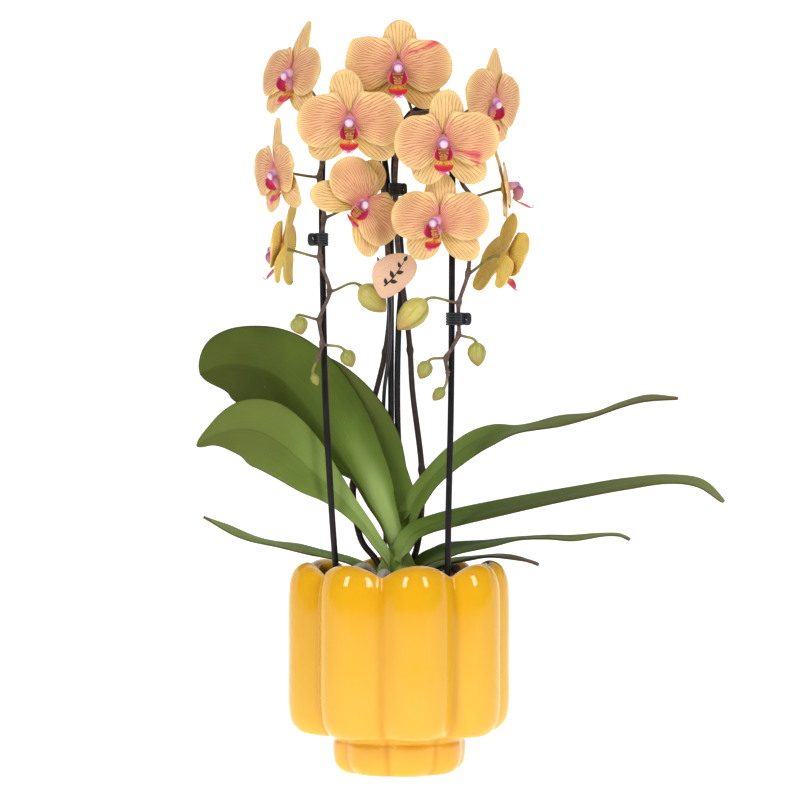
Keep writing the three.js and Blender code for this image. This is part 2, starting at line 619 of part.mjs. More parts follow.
function bud({ from, to, radius }) {
  const start = new THREE.Vector3(...from);
  const axis = new THREE.Vector3(...to).sub(start);
  const along = axis.clone().normalize();
  const side = new THREE.Vector3().crossVectors(along, new THREE.Vector3(0, 1, 0)).normalize();
  const other = new THREE.Vector3().crossVectors(along, side);
  const girths = [[0.04, 0.42], [0.2, 0.85], [0.45, 1], [0.72, 0.78], [0.93, 0.3]];
  const rings = girths.map(([share, girth]) => {
    const ring = [];
    for (let i = 0; i < 8; i += 1) {
      const angle = (2 * Math.PI * i) / 8;
      ring.push(start.clone()
        .addScaledVector(axis, share)
        .addScaledVector(side, radius * girth * Math.cos(angle))
        .addScaledVector(other, radius * girth * Math.sin(angle)));
    }
    return ring;
  });
  return loft([[start], ...rings, [start.clone().add(axis)]]);
}

// ---- flower spikes ----------------------------------------------------------------------------

// The route of each spike from the crown, the joints that show as knots along it, and where the
// stalk of each bloom or bud leaves it.
const spikes = {
  spike_left: {
    route: [
      [-7.5, 8, 103], [-13, 12.5, 112], [-20.5, 16, 122], [-24.8, 18.4, 151.3], [-19, 20, 177], [-13, 17, 199.4],
      [-7.6, 9, 222.3], [-5.2, 0.6, 244.5], [-6.4, -4.5, 276.1], [-9, -10.5, 310], [-14.4, -18.5, 337],
      [-19, -24, 345], [-25.5, -28.8, 348.5], [-31.5, -33, 346], [-35.6, -34, 339.5], [-38, -33.6, 326],
      [-41.6, -33.4, 312.6], [-39.2, -33.4, 292.8], [-41.4, -33.4, 270.5], [-36.4, -33.4, 253.3],
      [-41.6, -33.4, 238.3], [-40.3, -33.4, 226], [-42.6, -33.8, 217.5],
    ],
    knots: [[-7.6, 9, 222.3], [-24.8, 18.4, 151.3]],
    stalks: {
      bloom_01: [-34.8, -33.7, 341.5], bloom_03: [-25.5, -28.5, 349], bloom_07: [-41.6, -33.4, 312.6],
      bloom_06: [-39.4, -33.4, 291], bloom_08: [-41.4, -33.4, 270.5], bud_left_1: [-36.4, -33.4, 253.3],
      bud_left_2: [-41.6, -33.4, 238.3], bud_left_3: [-40.3, -33.4, 226], bud_left_4: [-42.2, -33.8, 218.5],
    },
  },
  spike_right: {
    route: [
      [5, 8, 107.5], [8.8, 12.3, 116], [11.4, 15.2, 132.8], [11.9, 17.2, 159.3], [6.9, 14.5, 202], [5.6, 9, 223.3],
      [3.4, 0.5, 244.6], [-0.6, -7.9, 274], [-2.4, -12.6, 302.5], [-1, -17.3, 328.5], [1.6, -20.5, 338],
      [5, -24.2, 344.2], [11.7, -28.6, 346.3], [19, -33, 345], [24.7, -36, 339], [28.8, -37, 329.5],
      [32.4, -37, 309.3], [37.1, -37, 301.9], [36.6, -37, 284.8], [35.5, -37, 262.5], [30.8, -36.6, 247],
      [30.6, -36.4, 238.7], [30.6, -36.4, 230.4], [26.9, -36.4, 223.2], [24.1, -36.4, 218.5], [25.2, -36.4, 209.2],
    ],
    knots: [[5.6, 9, 223.3], [11.9, 17.2, 159.3]],
    stalks: {
      bloom_02: [8, -26, 345.6], bloom_09: [24, -35.6, 340], bloom_04: [28.8, -37, 329.5],
      bloom_10: [37.1, -37, 301.9], bloom_05: [36.6, -37, 284.8], bloom_11: [35.5, -37, 262.5],
      bud_right_1: [30.8, -36.6, 247], bud_right_2: [30.6, -36.4, 230.4], bud_right_3: [24.1, -36.4, 218.5],
      bud_right_4: [25.2, -36.4, 210.4],
    },
  },
};

// The place on a run of straight steps that is nearest to a given place.
function nearestOn(steps, place) {
  const spots = steps.slice(1).flatMap((p, i) => [0, 0.2, 0.4, 0.6, 0.8].map((t) => steps[i].clone().lerp(p, t)));
  return spots.reduce((best, p) => (p.distanceTo(place) < best.distanceTo(place) ? p : best));
}

// A stalk leaves the spike, sags a little and enters the back of its bloom or the top of its bud.
function stalk(steps, from, name) {
  const start = nearestOn(steps, new THREE.Vector3(...from));
  let end;
  let inward;
  if (blooms[name]) {
    const frame = bloomFrame(blooms[name]);
    inward = new THREE.Vector3(0, 0, 1).transformDirection(frame);
    end = new THREE.Vector3(...blooms[name].at).addScaledVector(inward, -hubDepth - clearance);
  } else {
    end = new THREE.Vector3(...buds[name].from);
    inward = new THREE.Vector3(...buds[name].to).sub(end).normalize();
    end.addScaledVector(inward, -2 * clearance);
  }
  const span = start.distanceTo(end);
  const leaving = start.clone().lerp(end, 0.35).setY(start.y + 0.08 * (end.y - start.y));
  leaving.z -= 0.05 * span;
  const arriving = end.clone().addScaledVector(inward, -0.3 * span);
  return rod(new THREE.CubicBezierCurve3(start, leaving, arriving, end), pedicelRadius, 4, blooms[name] ? 3 : 2);
}

function spike({ route, knots, stalks }) {
  const taper = (t) => spikeRadius.foot + (spikeRadius.tip - spikeRadius.foot) * t;
  const axis = curveThrough(route);
  const steps = axis.getSpacedPoints(spikeSteps);
  const knotSolids = knots.map(([x, y, z]) => new THREE.SphereGeometry(2.1, 5, 3).translate(x, y, z));
  const stalkSolids = Object.entries(stalks).map(([name, from]) => stalk(steps, from, name));
  return joined([rod(axis, taper, 5, spikeSteps), ...knotSolids, ...stalkSolids]);
}

// ---- clips ------------------------------------------------------------------------------------

// A clip's frame: its pivot stands upright at the origin, the claws reach along +x round the spike
// and the hoop, and the finger pads along -x.
const clips = {
  clip_left: { at: [-43.1, -31.4, 280.2], yaw: 0, reach: 5, pad: 3.6 },
  clip_right: { at: [32.9, -34.2, 238.8], yaw: 180, reach: 7.8, pad: 3.4 },
  clip_inner: { at: [0.4, -11.1, 307.5], yaw: 180, reach: 5, pad: 2.6 },
};

function box(size, place, turn = 0) {
  return new THREE.BoxGeometry(...size).rotateZ(THREE.MathUtils.degToRad(turn)).translate(...place);
}

function placed(geometry, { at, yaw }) {
  return geometry.rotateZ(THREE.MathUtils.degToRad(yaw)).translate(...at);
}

// One hooked finger of a claw, cut from flat stock and laid on the side given by its sign.
function claw(side, level, reach) {
  const tip = reach + 1;
  const outline = [[-0.9, 1], [-0.9, 5.4], [tip, 5.4], [tip, 2.9], [reach, 2.9], [reach, 4.3], [0.9, 4.3], [0.9, 1]];
  const shape = new THREE.Shape(outline.map(([x, y]) => new THREE.Vector2(x, side * y)));
  return new THREE.ExtrudeGeometry(shape, { depth: 1.5, bevelEnabled: false }).translate(0, 0, level - 0.75);
}

function clipJaws(clip) {
  const height = 6.6;
  const pieces = [box([2, 3.4, height], [0, 0, 0])];
  for (const side of [-1, 1]) {
    pieces.push(box([clip.pad + 1, 1.3, height], [-clip.pad / 2 - 0.4, side * 1.9, 0], -side * 8));
    for (const level of [-2.5, 0, 2.5]) pieces.push(claw(side, level, clip.reach));
  }
  return placed(joined(pieces), clip);
}

function clipSpring(clip) {
  const coil = new THREE.CylinderGeometry(0.8, 0.8, 5.6, 8).rotateX(Math.PI / 2).translate(-2.15, 0, 0);
  return placed(coil, clip);
}

// ---- tag --------------------------------------------------------------------------------------

const tagPlace = { y: -30, thickness: 0.8 };
const tagOutline = [
  [0.3, 273.2], [5.6, 271.9], [9, 267.6], [8.2, 262], [3.9, 256.6], [-3, 251.2], [-8.9, 249.8],
  [-12.6, 254.5], [-14.4, 262], [-12.6, 267.8], [-7, 271.8],
];

function tagCard() {
  const outline = new THREE.Shape(new THREE.SplineCurve(
    [...tagOutline, tagOutline[0]].map(([x, z]) => new THREE.Vector2(x, z)),
  ).getPoints(22).slice(0, -1));
  const card = new THREE.ExtrudeGeometry(outline, { depth: tagPlace.thickness, bevelEnabled: false });
  return card.rotateX(Math.PI / 2).translate(0, tagPlace.y + tagPlace.thickness / 2, 0);
}

const tagStickRoute = [
  [-7, 24, 60], [-7.6, 24, 111], [-8.4, 23, 165], [-8.6, 19.5, 188], [-8, 10, 203], [-5.4, -1, 222],
  [-4.8, -9, 238], [-5.5, -22, 252], [-8.5, -28, 262], [-11.6, -28, 271.5],
];

function tagStick(extra = 0) {
  return rod(curveThrough(tagStickRoute), 1.05 + extra, 5, 15);
}

// ---- assembly ---------------------------------------------------------------------------------

const leafSolids = Object.entries(leaves).map(([name, shape]) => [name, leaf(shape)]);
const spikeSolids = Object.entries(spikes).map(([name, shape]) => [name, spike(shape)]);

const crownCutters = [
  ...Object.values(leaves).map((shape) => leaf(shape, clearance + 0.25)),
  ...Object.values(spikes).map(({ route }) => rod(curveThrough(route), spikeRadius.foot + clearance, 6, spikeSteps)),
];
const crown = cutBy(crownStem(), crownCutters);

const barkCutters = [
  ...Object.values(hoops).map((route) => hoop(route, clearance)),
  ...Object.values(roots).map((shape) => root(shape, clearance)),
  tagStick(clearance),
  new THREE.CylinderGeometry(1, 1, 20, 10).rotateX(Math.PI / 2).scale(12.4, 9.8, 1).translate(-1, -2, 100.5),
];

addPart('decor_pot', decorPot(), colours.glaze, 0.15);
addPart('grow_pot', nurseryPot(), colours.nurseryPlastic, 0.4);
addPart('bark', cutBy(barkBed(), barkCutters), colours.bark, 0.95);
addPart('crown', crown, colours.crown, 0.5);
for (const [name, geometry] of leafSolids) addPart(name, geometry, colours.leaf, 0.45);
for (const [name, shape] of Object.entries(roots)) addPart(name, root(shape), colours.root, 0.7);
for (const [name, route] of Object.entries(hoops)) addPart(name, hoop(route), colours.stake, 0.4);
for (const [name, geometry] of spikeSolids) addPart(name, geometry, colours.spike, 0.5);
for (const [name, shape] of Object.entries(blooms)) {
  addPart(name, bloomTepals(shape), colours.tepal, 0.6);
  addPart(`${name}_lip`, bloomLip(shape), colours.lip, 0.5);
}
for (const [name, shape] of Object.entries(buds)) addPart(name, bud(shape), colours.bud, 0.5);
for (const [name, shape] of Object.entries(clips)) {
  addPart(name, clipJaws(shape), colours.clip, 0.4);
  addPart(`${name}_spring`, clipSpring(shape), colours.spring, 0.3, 0.9);
}
addPart('tag', tagCard(), colours.card, 0.8);
addPart('tag_stick', tagStick(), colours.clip, 0.4);

export default model;
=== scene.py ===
# A moth orchid with two flower spikes on wire hoops, in a lobed glazed pot, dressed around its
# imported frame. Shapes are worked out in millimetres and put into their meshes in metres.
from functools import partial

import bpy
import numpy as np
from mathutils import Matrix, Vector


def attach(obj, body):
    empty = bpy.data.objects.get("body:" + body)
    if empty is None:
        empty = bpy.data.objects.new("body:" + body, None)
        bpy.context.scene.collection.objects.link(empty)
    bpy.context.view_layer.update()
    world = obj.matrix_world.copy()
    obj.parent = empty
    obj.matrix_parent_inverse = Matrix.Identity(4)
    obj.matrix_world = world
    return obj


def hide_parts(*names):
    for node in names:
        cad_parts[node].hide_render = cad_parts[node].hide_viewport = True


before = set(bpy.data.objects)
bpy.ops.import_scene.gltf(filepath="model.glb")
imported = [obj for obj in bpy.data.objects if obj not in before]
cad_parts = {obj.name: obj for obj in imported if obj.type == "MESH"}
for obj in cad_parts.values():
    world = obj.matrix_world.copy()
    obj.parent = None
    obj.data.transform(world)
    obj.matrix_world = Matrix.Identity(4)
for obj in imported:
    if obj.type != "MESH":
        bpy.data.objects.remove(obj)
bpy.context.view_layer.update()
print("frame loaded:", len(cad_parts), "nodes")

mm = 0.001
turn = 2 * np.pi


def unit(vectors):
    # each vector divided by its own length
    return vectors / np.maximum(np.linalg.norm(vectors, axis=-1, keepdims=True), 1e-9)


def smoothRise(low, high, x):
    # 0 below low, 1 above high, and 3t^2 - 2t^3 between them
    t = np.clip((x - low) / (high - low), 0, 1)
    return t * t * (3 - 2 * t)


def rotation(axis, degrees):
    # the matrix that turns a column about x, y or z, for axis 0, 1 or 2
    cs, sn = np.cos(np.radians(degrees)), np.sin(np.radians(degrees))
    return np.roll([[1, 0, 0], [0, cs, -sn], [0, sn, cs]], axis, (0, 1))


def splineThrough(stations, t, sharing=0.5):
    # Hermite pieces through the stations, each met at an even step of t. The slope at a station
    # comes from its neighbours, weighed by their distance to the power of sharing.
    points = np.asarray(stations, float)
    points = points[:, None] if points.ndim == 1 else points
    last = len(points) - 1
    padded = np.vstack([2 * points[0] - points[1], points, 2 * points[-1] - points[-2]])
    place = np.clip(t, 0, 1) * last
    i = np.minimum(place.astype(int), last - 1)
    w = (place - i)[..., None]
    p0, p1, p2, p3 = (padded[i + k] for k in range(4))
    d0, d1, d2 = (np.maximum(np.linalg.norm(b - a, axis=-1, keepdims=True), 1e-6) ** sharing
                  for a, b in ((p0, p1), (p1, p2), (p2, p3)))
    s1 = ((p1 - p0) / d0 - (p2 - p0) / (d0 + d1) + (p2 - p1) / d1) * d1
    s2 = ((p2 - p1) / d1 - (p3 - p1) / (d1 + d2) + (p3 - p2) / d2) * d1
    return p1 + s1 * w + (3 * (p2 - p1) - 2 * s1 - s2) * w ** 2 + (2 * (p1 - p2) + s1 + s2) * w ** 3


def evenPath(stations, count):
    # the spline through the stations, in steps of equal length
    fine = splineThrough(stations, np.linspace(0, 1, 60 * len(stations)))
    run = np.concatenate([[0], np.cumsum(np.linalg.norm(np.diff(fine, axis=0), axis=1))])
    even = np.linspace(0, run[-1], count)
    return np.stack([np.interp(even, run, fine[:, k]) for k in range(3)], -1)


def bezierPath(a, b, c, d, count):
    # the cubic curve from a to d that leaves towards b and arrives from c
    t = np.linspace(0, 1, count)[:, None]
    return (1 - t) ** 3 * a + 3 * t * (1 - t) ** 2 * b + 3 * t * t * (1 - t) * c + t ** 3 * d


def ringsAlong(path, radius, sides, flat=1.0):
    # circles of the given radius, square to the path; flat squeezes them along their second axis
    along = unit(np.gradient(path, axis=0))
    helper = np.eye(3)[np.argmin(np.abs(along).max(axis=0))]
    side = unit(np.cross(helper, along))
    other = np.cross(along, side)
    angle = np.linspace(0, turn, sides, endpoint=False)[None, :, None]
    column = np.asarray(radius, float).reshape(-1, 1) if np.ndim(radius) < 2 else radius
    reach = np.broadcast_to(column, (len(path), sides))[..., None]
    return path[:, None] + reach * (np.cos(angle) * side[:, None] + flat * np.sin(angle) * other[:, None])


def patch(rings, uv=None, skin=0, **marks):
    # a closed skin over rows of rings, with a flat cap on both ends
    rows, sides = rings.shape[:2]
    if uv is None:
        u, v = np.meshgrid(np.linspace(0, 1, rows), np.linspace(0, 1, sides + 1), indexing="ij")
        uv = np.stack([u, v], -1)
    return {"rings": rings, "uv": uv, "skin": skin, "marks": marks}


def tube(path, radius, sides, skin=0, **marks):
    # a closed tube along the path
    return patch(ringsAlong(path, radius, sides), None, skin, **marks)


def blade(surface, thickness, rows, columns, edge, start=0.0, crowding=0.6, skin=0, **marks):
    # surface(u, v) is the middle sheet, with u from start to 1 and v from -1 to 1. Each face stands
    # half a thickness off it along the normal, and the thickness falls to the share edge at the
    # margins, as the root of 1 - v^4. A sine draws the rows towards the tip and the columns out.
    even, spread = np.linspace(0, 1, rows), np.linspace(-1, 1, columns)
    along = start + (1 - start) * (even + crowding * (np.sin(even * np.pi / 2) - even))
    across = 0.4 * np.sin(spread * np.pi / 2) + 0.6 * spread
    u, v = np.meshgrid(along, across, indexing="ij")
    step = 2e-3
    nearU = np.clip(u, start + step, 0.975)  # the outline closes too fast past this for a slope
    du = surface(nearU + step, v) - surface(nearU - step, v)
    dv = surface(nearU, np.minimum(v + step, 1)) - surface(nearU, np.maximum(v - step, -1))
    up = unit(np.cross(du, dv))
    half = 0.5 * thickness * (edge + (1 - edge) * np.sqrt(np.maximum(0, 1 - v ** 4)))[..., None]
    middle = surface(u, v)
    rings = np.concatenate([(middle + half * up)[:, ::-1], middle - half * up], 1)
    both = lambda grid: np.concatenate([grid[:, ::-1], grid], 1)
    pairs = both(np.stack([u, v], -1))
    uv = np.concatenate([pairs, pairs[:, :1]], 1)
    marks = {name: both(value(u, v)) for name, value in marks.items()}
    marks["under"] = np.concatenate([np.zeros_like(u), np.ones_like(u)], 1)
    return patch(rings, uv, skin, **marks)


def placed(name, data):
    # a new object of the scene
    piece = bpy.data.objects.new(name, data)
    bpy.context.scene.collection.objects.link(piece)
    return piece


def makePiece(name, patches, materials, node, sharp=None):
    # one mesh from all the patches, in place of the frame's own node
    points, faces, uvs, skins, marks = [], [], [], [], {}
    start = 0
    for item in patches:
        rings, uv = item["rings"], item["uv"]
        rows, sides = rings.shape[:2]
        i, k = (grid.ravel() for grid in np.meshgrid(np.arange(rows - 1), np.arange(sides), indexing="ij"))
        low, high = start + i * sides, start + (i + 1) * sides
        n = (k + 1) % sides
        quads = np.stack([low + k, low + n, high + n, high + k], -1)
        faces += quads.tolist()
        uvs.append(np.stack([uv[i, k], uv[i, k + 1], uv[i + 1, k + 1], uv[i + 1, k]], 1).reshape(-1, 2))
        ends = [np.arange(sides)[::-1], (rows - 1) * sides + np.arange(sides)]
        faces += [(start + end).tolist() for end in ends]
        uvs += [uv[0, :sides][::-1], uv[-1, :sides]]
        skins += [item["skin"]] * (len(quads) + 2)
        points.append(rings.reshape(-1, 3))
        for key, value in item["marks"].items():
            marks.setdefault(key, []).append((start, np.broadcast_to(value, (rows, sides)).ravel()))
        start += rows * sides
    mesh = bpy.data.meshes.new(name)
    mesh.from_pydata((np.concatenate(points) * mm).tolist(), [], faces)
    mesh.uv_layers.new(name="surface").data.foreach_set("uv", np.concatenate(uvs).ravel())
    mesh.polygons.foreach_set("material_index", skins)
    mesh.polygons.foreach_set("use_smooth", [True] * len(faces))
    for key, runs in marks.items():
        values = np.zeros(start)
        for first, run in runs:
            values[first:first + len(run)] = run
        mesh.attributes.new(key, "FLOAT", "POINT").data.foreach_set("value", values)
    if sharp is not None:
        mesh.set_sharp_from_angle(angle=np.radians(sharp))
    mesh.validate()
    for material in materials:
        mesh.materials.append(material)
    piece = placed(name, mesh)
    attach(piece, "root")
    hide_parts(node)


def hexColour(text):
    # sRGB hex to linear light
    srgb = np.array([int(text[i:i + 2], 16) for i in (1, 3, 5)]) / 255
    linear = np.where(srgb <= 0.04045, srgb / 12.92, ((srgb + 0.055) / 1.055) ** 2.4)
    return (*linear.tolist(), 1.0)


def setInputs(tree, node, inputs):
    # an input is a value, a hex colour or another node's socket, which is linked
    for key, value in inputs.items():
        socket = node.inputs[key.replace("_", " ") if isinstance(key, str) else key]
        if isinstance(value, bpy.types.NodeSocket):
            tree.links.new(value, socket)
        else:
            socket.default_value = hexColour(value) if isinstance(value, str) else value


# every Mix here blends two colours, and the third output is its result and an Attribute's factor
usualSettings = {"Mix": {"data_type": "RGBA", "output": 2}, "Attribute": {"output": 2}}


def addNode(tree, kind, inputs=None, **settings):
    # A node with its settings and links, handed back as one of its outputs. A ramp's stops are pairs
    # of place and colour. Numbered inputs: a Mix takes its share at 0 and its colours at 6 and 7, and
    # a MapRange takes the value at 0, the range it comes from at 1 and 2 and its new range at 3 and 4.
    settings = {**usualSettings.get(kind, {}), **settings}
    output, stops = settings.pop("output", 0), settings.pop("stops", [])
    node = tree.nodes.new("ShaderNode" + kind)
    for key, value in settings.items():
        setattr(node, key, value)
    for _ in stops[2:]:
        node.color_ramp.elements.new(0.5)
    for k, (place, colour) in enumerate(stops):
        node.color_ramp.elements[k].position = place
        node.color_ramp.elements[k].color = hexColour(colour)
    setInputs(tree, node, inputs or {})
    return node.outputs[output]


def newMaterial(name):
    # an empty Principled material, and addNode bound to its tree
    material = bpy.data.materials.new(name)
    material.use_nodes = True
    return material, partial(addNode, material.node_tree)


def finished(material, body, coats=(), bump=None, **sockets):
    # The body colour under its coats, each a share and a colour; the bump's strength, its depth in
    # metres and its height; and the shader's other sockets.
    tree = material.node_tree
    for share, coat in coats:
        body = addNode(tree, "Mix", {0: share, 6: body, 7: coat})
    if bump:
        sockets["Normal"] = addNode(tree, "Bump", dict(zip(("Strength", "Distance", "Height"), bump)))
    setInputs(tree, tree.nodes["Principled BSDF"], {"Base Color": body, **sockets})
    return material


# Materials of one even grain: where it is measured, its scale for each metre or each piece, its
# detail, the ramp over it, the bump's strength and depth, and the shader's own values. The grains of
# plastic, wire, card and ink are drawn coarser than life, so that they show.
plainFinishes = {
    # thin grey nursery plastic, satin from the mould
    "mouldedPolypropylene": ("Object", 900, 2, [(0.3, "#3c3c39"), (0.7, "#4f4f4b")], (0.15, 0.0002),
                             {"Roughness": 0.42}),
    # the pale green bases of the leaves, clasping each other
    "leafSheath": ("Object", 120, 3, [(0.3, "#5a7228"), (0.6, "#7f9842"), (0.8, "#9fb362")], (0.3, 0.0005),
                   {"Roughness": 0.5, "Specular_IOR_Level": 0.15, "Subsurface_Weight": 0.1,
                    "Subsurface_Scale": 0.002}),
    # steel wire dipped in black plastic, smooth and nearly glossy
    "coatedWire": ("Object", 220, 3, [(0.3, "#0d0b0d"), (0.7, "#1c181b")], (0.08, 0.0002),
                   {"Roughness": 0.34, "Specular_IOR_Level": 0.2}),
    # pearly pinkish white cap over the pollen
    "antherCap": ("UV", 4, 2, [(0.3, "#cfa3c4"), (0.5, "#e0c3d2"), (0.7, "#e9d8dc")], None,
                  {"Roughness": 0.3, "Subsurface_Weight": 0.2, "Subsurface_Scale": 0.001}),
    # black moulded clip plastic
    "clipAbs": ("Object", 1500, 2, [(0.3, "#121318"), (0.7, "#20222a")], (0.12, 0.0001), {"Roughness": 0.36}),
    # bright drawn spring wire
    "springSteel": ("Object", 900, 2, [(0.3, "#9fa2a6"), (0.7, "#cfd2d5")], None,
                    {"Metallic": 1.0, "Roughness": 0.28}),
    # peach card stock with a faint paper fibre
    "printedCard": ("Object", 1100, 4, [(0.3, "#d6ab8d"), (0.7, "#deb697")], (0.1, 0.0001),
                    {"Roughness": 0.6}),
    # matt black print
    "blackInk": ("Object", 1400, 2, [(0.3, "#17130f"), (0.8, "#2a221c")], None, {"Roughness": 0.55}),
}


def plainFinish(name):
    # one noise colours the surface and raises it
    space, scale, detail, ramp, bump, sockets = plainFinishes[name]
    material, add = newMaterial(name)
    grain = add("TexNoise", {"Vector": add("TexCoord", output=space), "Scale": scale, "Detail": detail})
    return finished(material, add("ValToRGB", {0: grain}, stops=ramp), (), bump and (*bump, grain), **sockets)


def glazedEarthenware():
    # thick yellow glaze over clay: deeper colour where it pools in the grooves, paler low down as painted
    # light thrown up by the floor, a thin pale line where it pulls off the rim, wet gloss with a slow
    # waviness
    material, add = newMaterial("glazedEarthenware")
    place = add("TexCoord", output="Object")
    pool, rim, paintedFloorLight = (add("Attribute", attribute_name=key) for key in ("groove", "rim", "low"))
    flow = add("TexNoise", {"Vector": place, "Scale": 28, "Detail": 3})
    mottle = add("Math", {0: flow, 1: 0.3}, operation="MULTIPLY")
    # painted light: the body turns paler towards the foot, standing in for light thrown up by the floor
    body = add("ValToRGB", {0: paintedFloorLight}, stops=[(0, "#dfa514"), (0.5, "#e4ad20"), (1, "#e9b63c")])
    ripple = add("TexNoise", {"Vector": place, "Scale": 60, "Detail": 1})
    return finished(material, body, [(mottle, "#dc9c12"), (pool, "#cd8e0a"), (rim, "#f2d3a8")],
                    (0.05, 0.0006, ripple), Roughness=0.08, Specular_IOR_Level=0.42)


def pineBark():
    # chipped pine bark: dull, flaky, from dark umber to a pale weathered edge
    material, add = newMaterial("pineBark")
    layers = add("TexNoise", {"Vector": add("TexCoord", output="Object"), "Scale": 260, "Detail": 6,
                              "Roughness": 0.7})
    shaded = add("Math", {0: layers, 1: add("Attribute", attribute_name="shade")}, operation="MULTIPLY")
    body = add("ValToRGB", {0: shaded},
               stops=[(0.05, "#2b1a10"), (0.3, "#57351f"), (0.5, "#855a38"), (0.75, "#ab8560")])
    return finished(material, body, (), (0.8, 0.0008, layers), Roughness=0.95, Specular_IOR_Level=0.25)


def orchidLeaf():
    # thick waxy leaf: deep green, paler towards its foot, partly as painted light, hardly veined, with a
    # dark midrib of painted shade in its channel, a thin purplish margin, a few pale specks, withered
    # ends, a greyer underside, painted light and shade on its halves and a painted sheen greying its tips
    material, add = newMaterial("orchidLeaf")
    place, surface = add("TexCoord", output="Object"), add("TexCoord", output="UV")
    under, shade, dull, brown = (add("Attribute", attribute_name=key)
                                 for key in ("under", "shade", "dull", "brown"))
    margin = add("Math", {0: add("SeparateXYZ", {0: surface}, output="Y")}, operation="ABSOLUTE")
    blotch = add("TexNoise", {"Vector": place, "Scale": 42, "Detail": 3})
    stretched = add("Mapping", {"Vector": surface, "Scale": (3, 30, 1)})
    veins = add("TexNoise", {"Vector": stretched, "Scale": 1, "Detail": 2, "Distortion": 0.1})
    soft = add("Math", {0: blotch, 1: 0.22, 2: -0.11}, operation="MULTIPLY_ADD")
    grain = add("Math", {0: veins, 1: 0.12, 2: soft}, operation="MULTIPLY_ADD")
    # the shade attribute brings the leaf's tone with its painted light and shade
    tones = add("Math", {0: grain, 1: shade}, operation="ADD")
    upper = add("ValToRGB", {0: tones},
                stops=[(0, "#26360b"), (0.3, "#42561a"), (0.6, "#647b34"), (1, "#96ad64")])
    lower = add("ValToRGB", {0: tones}, stops=[(0.1, "#434c26"), (0.5, "#666b3e"), (1, "#959c68")])
    # painted shade: the midrib's channel is darkened
    midribShade = add("MapRange", {0: margin, 1: 0, 2: 0.06, 3: 0.22, 4: 0})
    speck = add("TexNoise", {"Vector": place, "Scale": 620, "Detail": 1})
    dust = add("MapRange", {0: speck, 1: 0.78, 2: 0.82, 3: 0, 4: 0.4})
    rim = add("MapRange", {0: margin, 1: 0.965, 2: 0.995, 3: 0, 4: 0.75})
    # the mix towards #706c40 near the tips is a painted sheen
    coats = [(dull, "#706c40"), (under, lower), (midribShade, "#27370c"), (dust, "#b9c49a"), (brown, "#80695a"),
             (rim, "#452a26")]
    return finished(material, upper, coats, (0.12, 0.0004, veins), Roughness=0.55,
                    Specular_IOR_Level=0.02, Subsurface_Weight=0.03, Subsurface_Scale=0.002)


def silveryRoot():
    # dry spongy root skin: silver grey, finely pitted, green showing at the tip
    material, add = newMaterial("silveryRoot")
    pits = add("TexNoise", {"Vector": add("TexCoord", output="Object"), "Scale": 700, "Detail": 4})
    skin = add("ValToRGB", {0: pits}, stops=[(0.3, "#87827a"), (0.55, "#a39f96"), (0.8, "#bdb9b0")])
    return finished(material, skin, [(add("Attribute", attribute_name="tip"), "#7f8a4e")],
                    (0.5, 0.0003, pits), Roughness=0.85, Specular_IOR_Level=0.3)


def flowerStem():
    # firm round stem: mauve brown skin with darker flecks, nearly black where it is old, turning
    # green towards each bloom
    material, add = newMaterial("flowerStem")
    green, aged = (add("Attribute", attribute_name=key) for key in ("green", "aged"))
    fleck = add("TexNoise", {"Vector": add("TexCoord", output="Object"), "Scale": 420, "Detail": 4})
    bark = add("ValToRGB", {0: fleck}, stops=[(0.25, "#35252a"), (0.5, "#543e40"), (0.75, "#75595a")])
    fresh = add("ValToRGB", {0: fleck}, stops=[(0.25, "#6f6a34"), (0.6, "#8f8b48"), (0.8, "#a08358")])
    return finished(material, bark, [(aged, "#1e1417"), (green, fresh)], (0.25, 0.0003, fleck),
                    Roughness=0.42, Specular_IOR_Level=0.2, Subsurface_Weight=0.04, Subsurface_Scale=0.001)


def forkedVeins(add, surface, behind, lanes, forks):
    # Lines that fan out from a point behind the tepal's base. Each lane between two lines gets a
    # branch that leaves its line at the first fork and drifts to the middle of the lane, and two
    # finer branches do the same from the second fork on. Gives the distance to the nearest line.
    x = add("SeparateXYZ", {0: surface})
    y = x.node.outputs["Y"]
    reach = add("Math", {0: x, 1: behind}, operation="ADD")
    angle = add("Math", {0: y, 1: reach}, operation="ARCTAN2")
    radius = add("VectorMath", {0: add("CombineXYZ", {0: reach, 1: y})}, output="Value", operation="LENGTH")
    wobble = add("TexNoise", {"Vector": surface, "Scale": 3.2, "Detail": 1.5})
    swung = add("Math", {0: wobble, 1: 0.6 / lanes, 2: angle}, operation="MULTIPLY_ADD")
    lane = add("Math", {0: swung, 1: lanes}, operation="MULTIPLY")
    share = add("Math", {0: lane}, operation="FRACT")
    index = add("Math", {0: lane}, operation="FLOOR")
    chance = add("TexWhiteNoise", {"W": index}, noise_dimensions="1D")
    nearest = add("Math", {0: lane, 1: 0.5}, operation="PINGPONG")
    for fork, offset, drift in ((forks[0], 0, 0.5), (forks[1], 0, 0.25), (forks[1], 0.5, 0.25)):
        begin = add("Math", {0: chance, 1: 0.22, 2: fork - 0.11}, operation="MULTIPLY_ADD")
        finish = add("Math", {0: begin, 1: 0.26}, operation="ADD")
        place = add("MapRange", {0: radius, 1: begin, 2: finish, 3: offset, 4: offset + drift},
                    interpolation_type="SMOOTHSTEP")
        gap = add("Math", {0: share, 1: place}, operation="SUBTRACT")
        line = add("Math", {0: gap}, operation="ABSOLUTE")
        nearest = add("Math", {0: nearest, 1: line}, operation="MINIMUM")
    width = add("Math", {0: radius, 1: 1 / lanes}, operation="MULTIPLY")
    return add("Math", {0: nearest, 1: width}, operation="MULTIPLY")


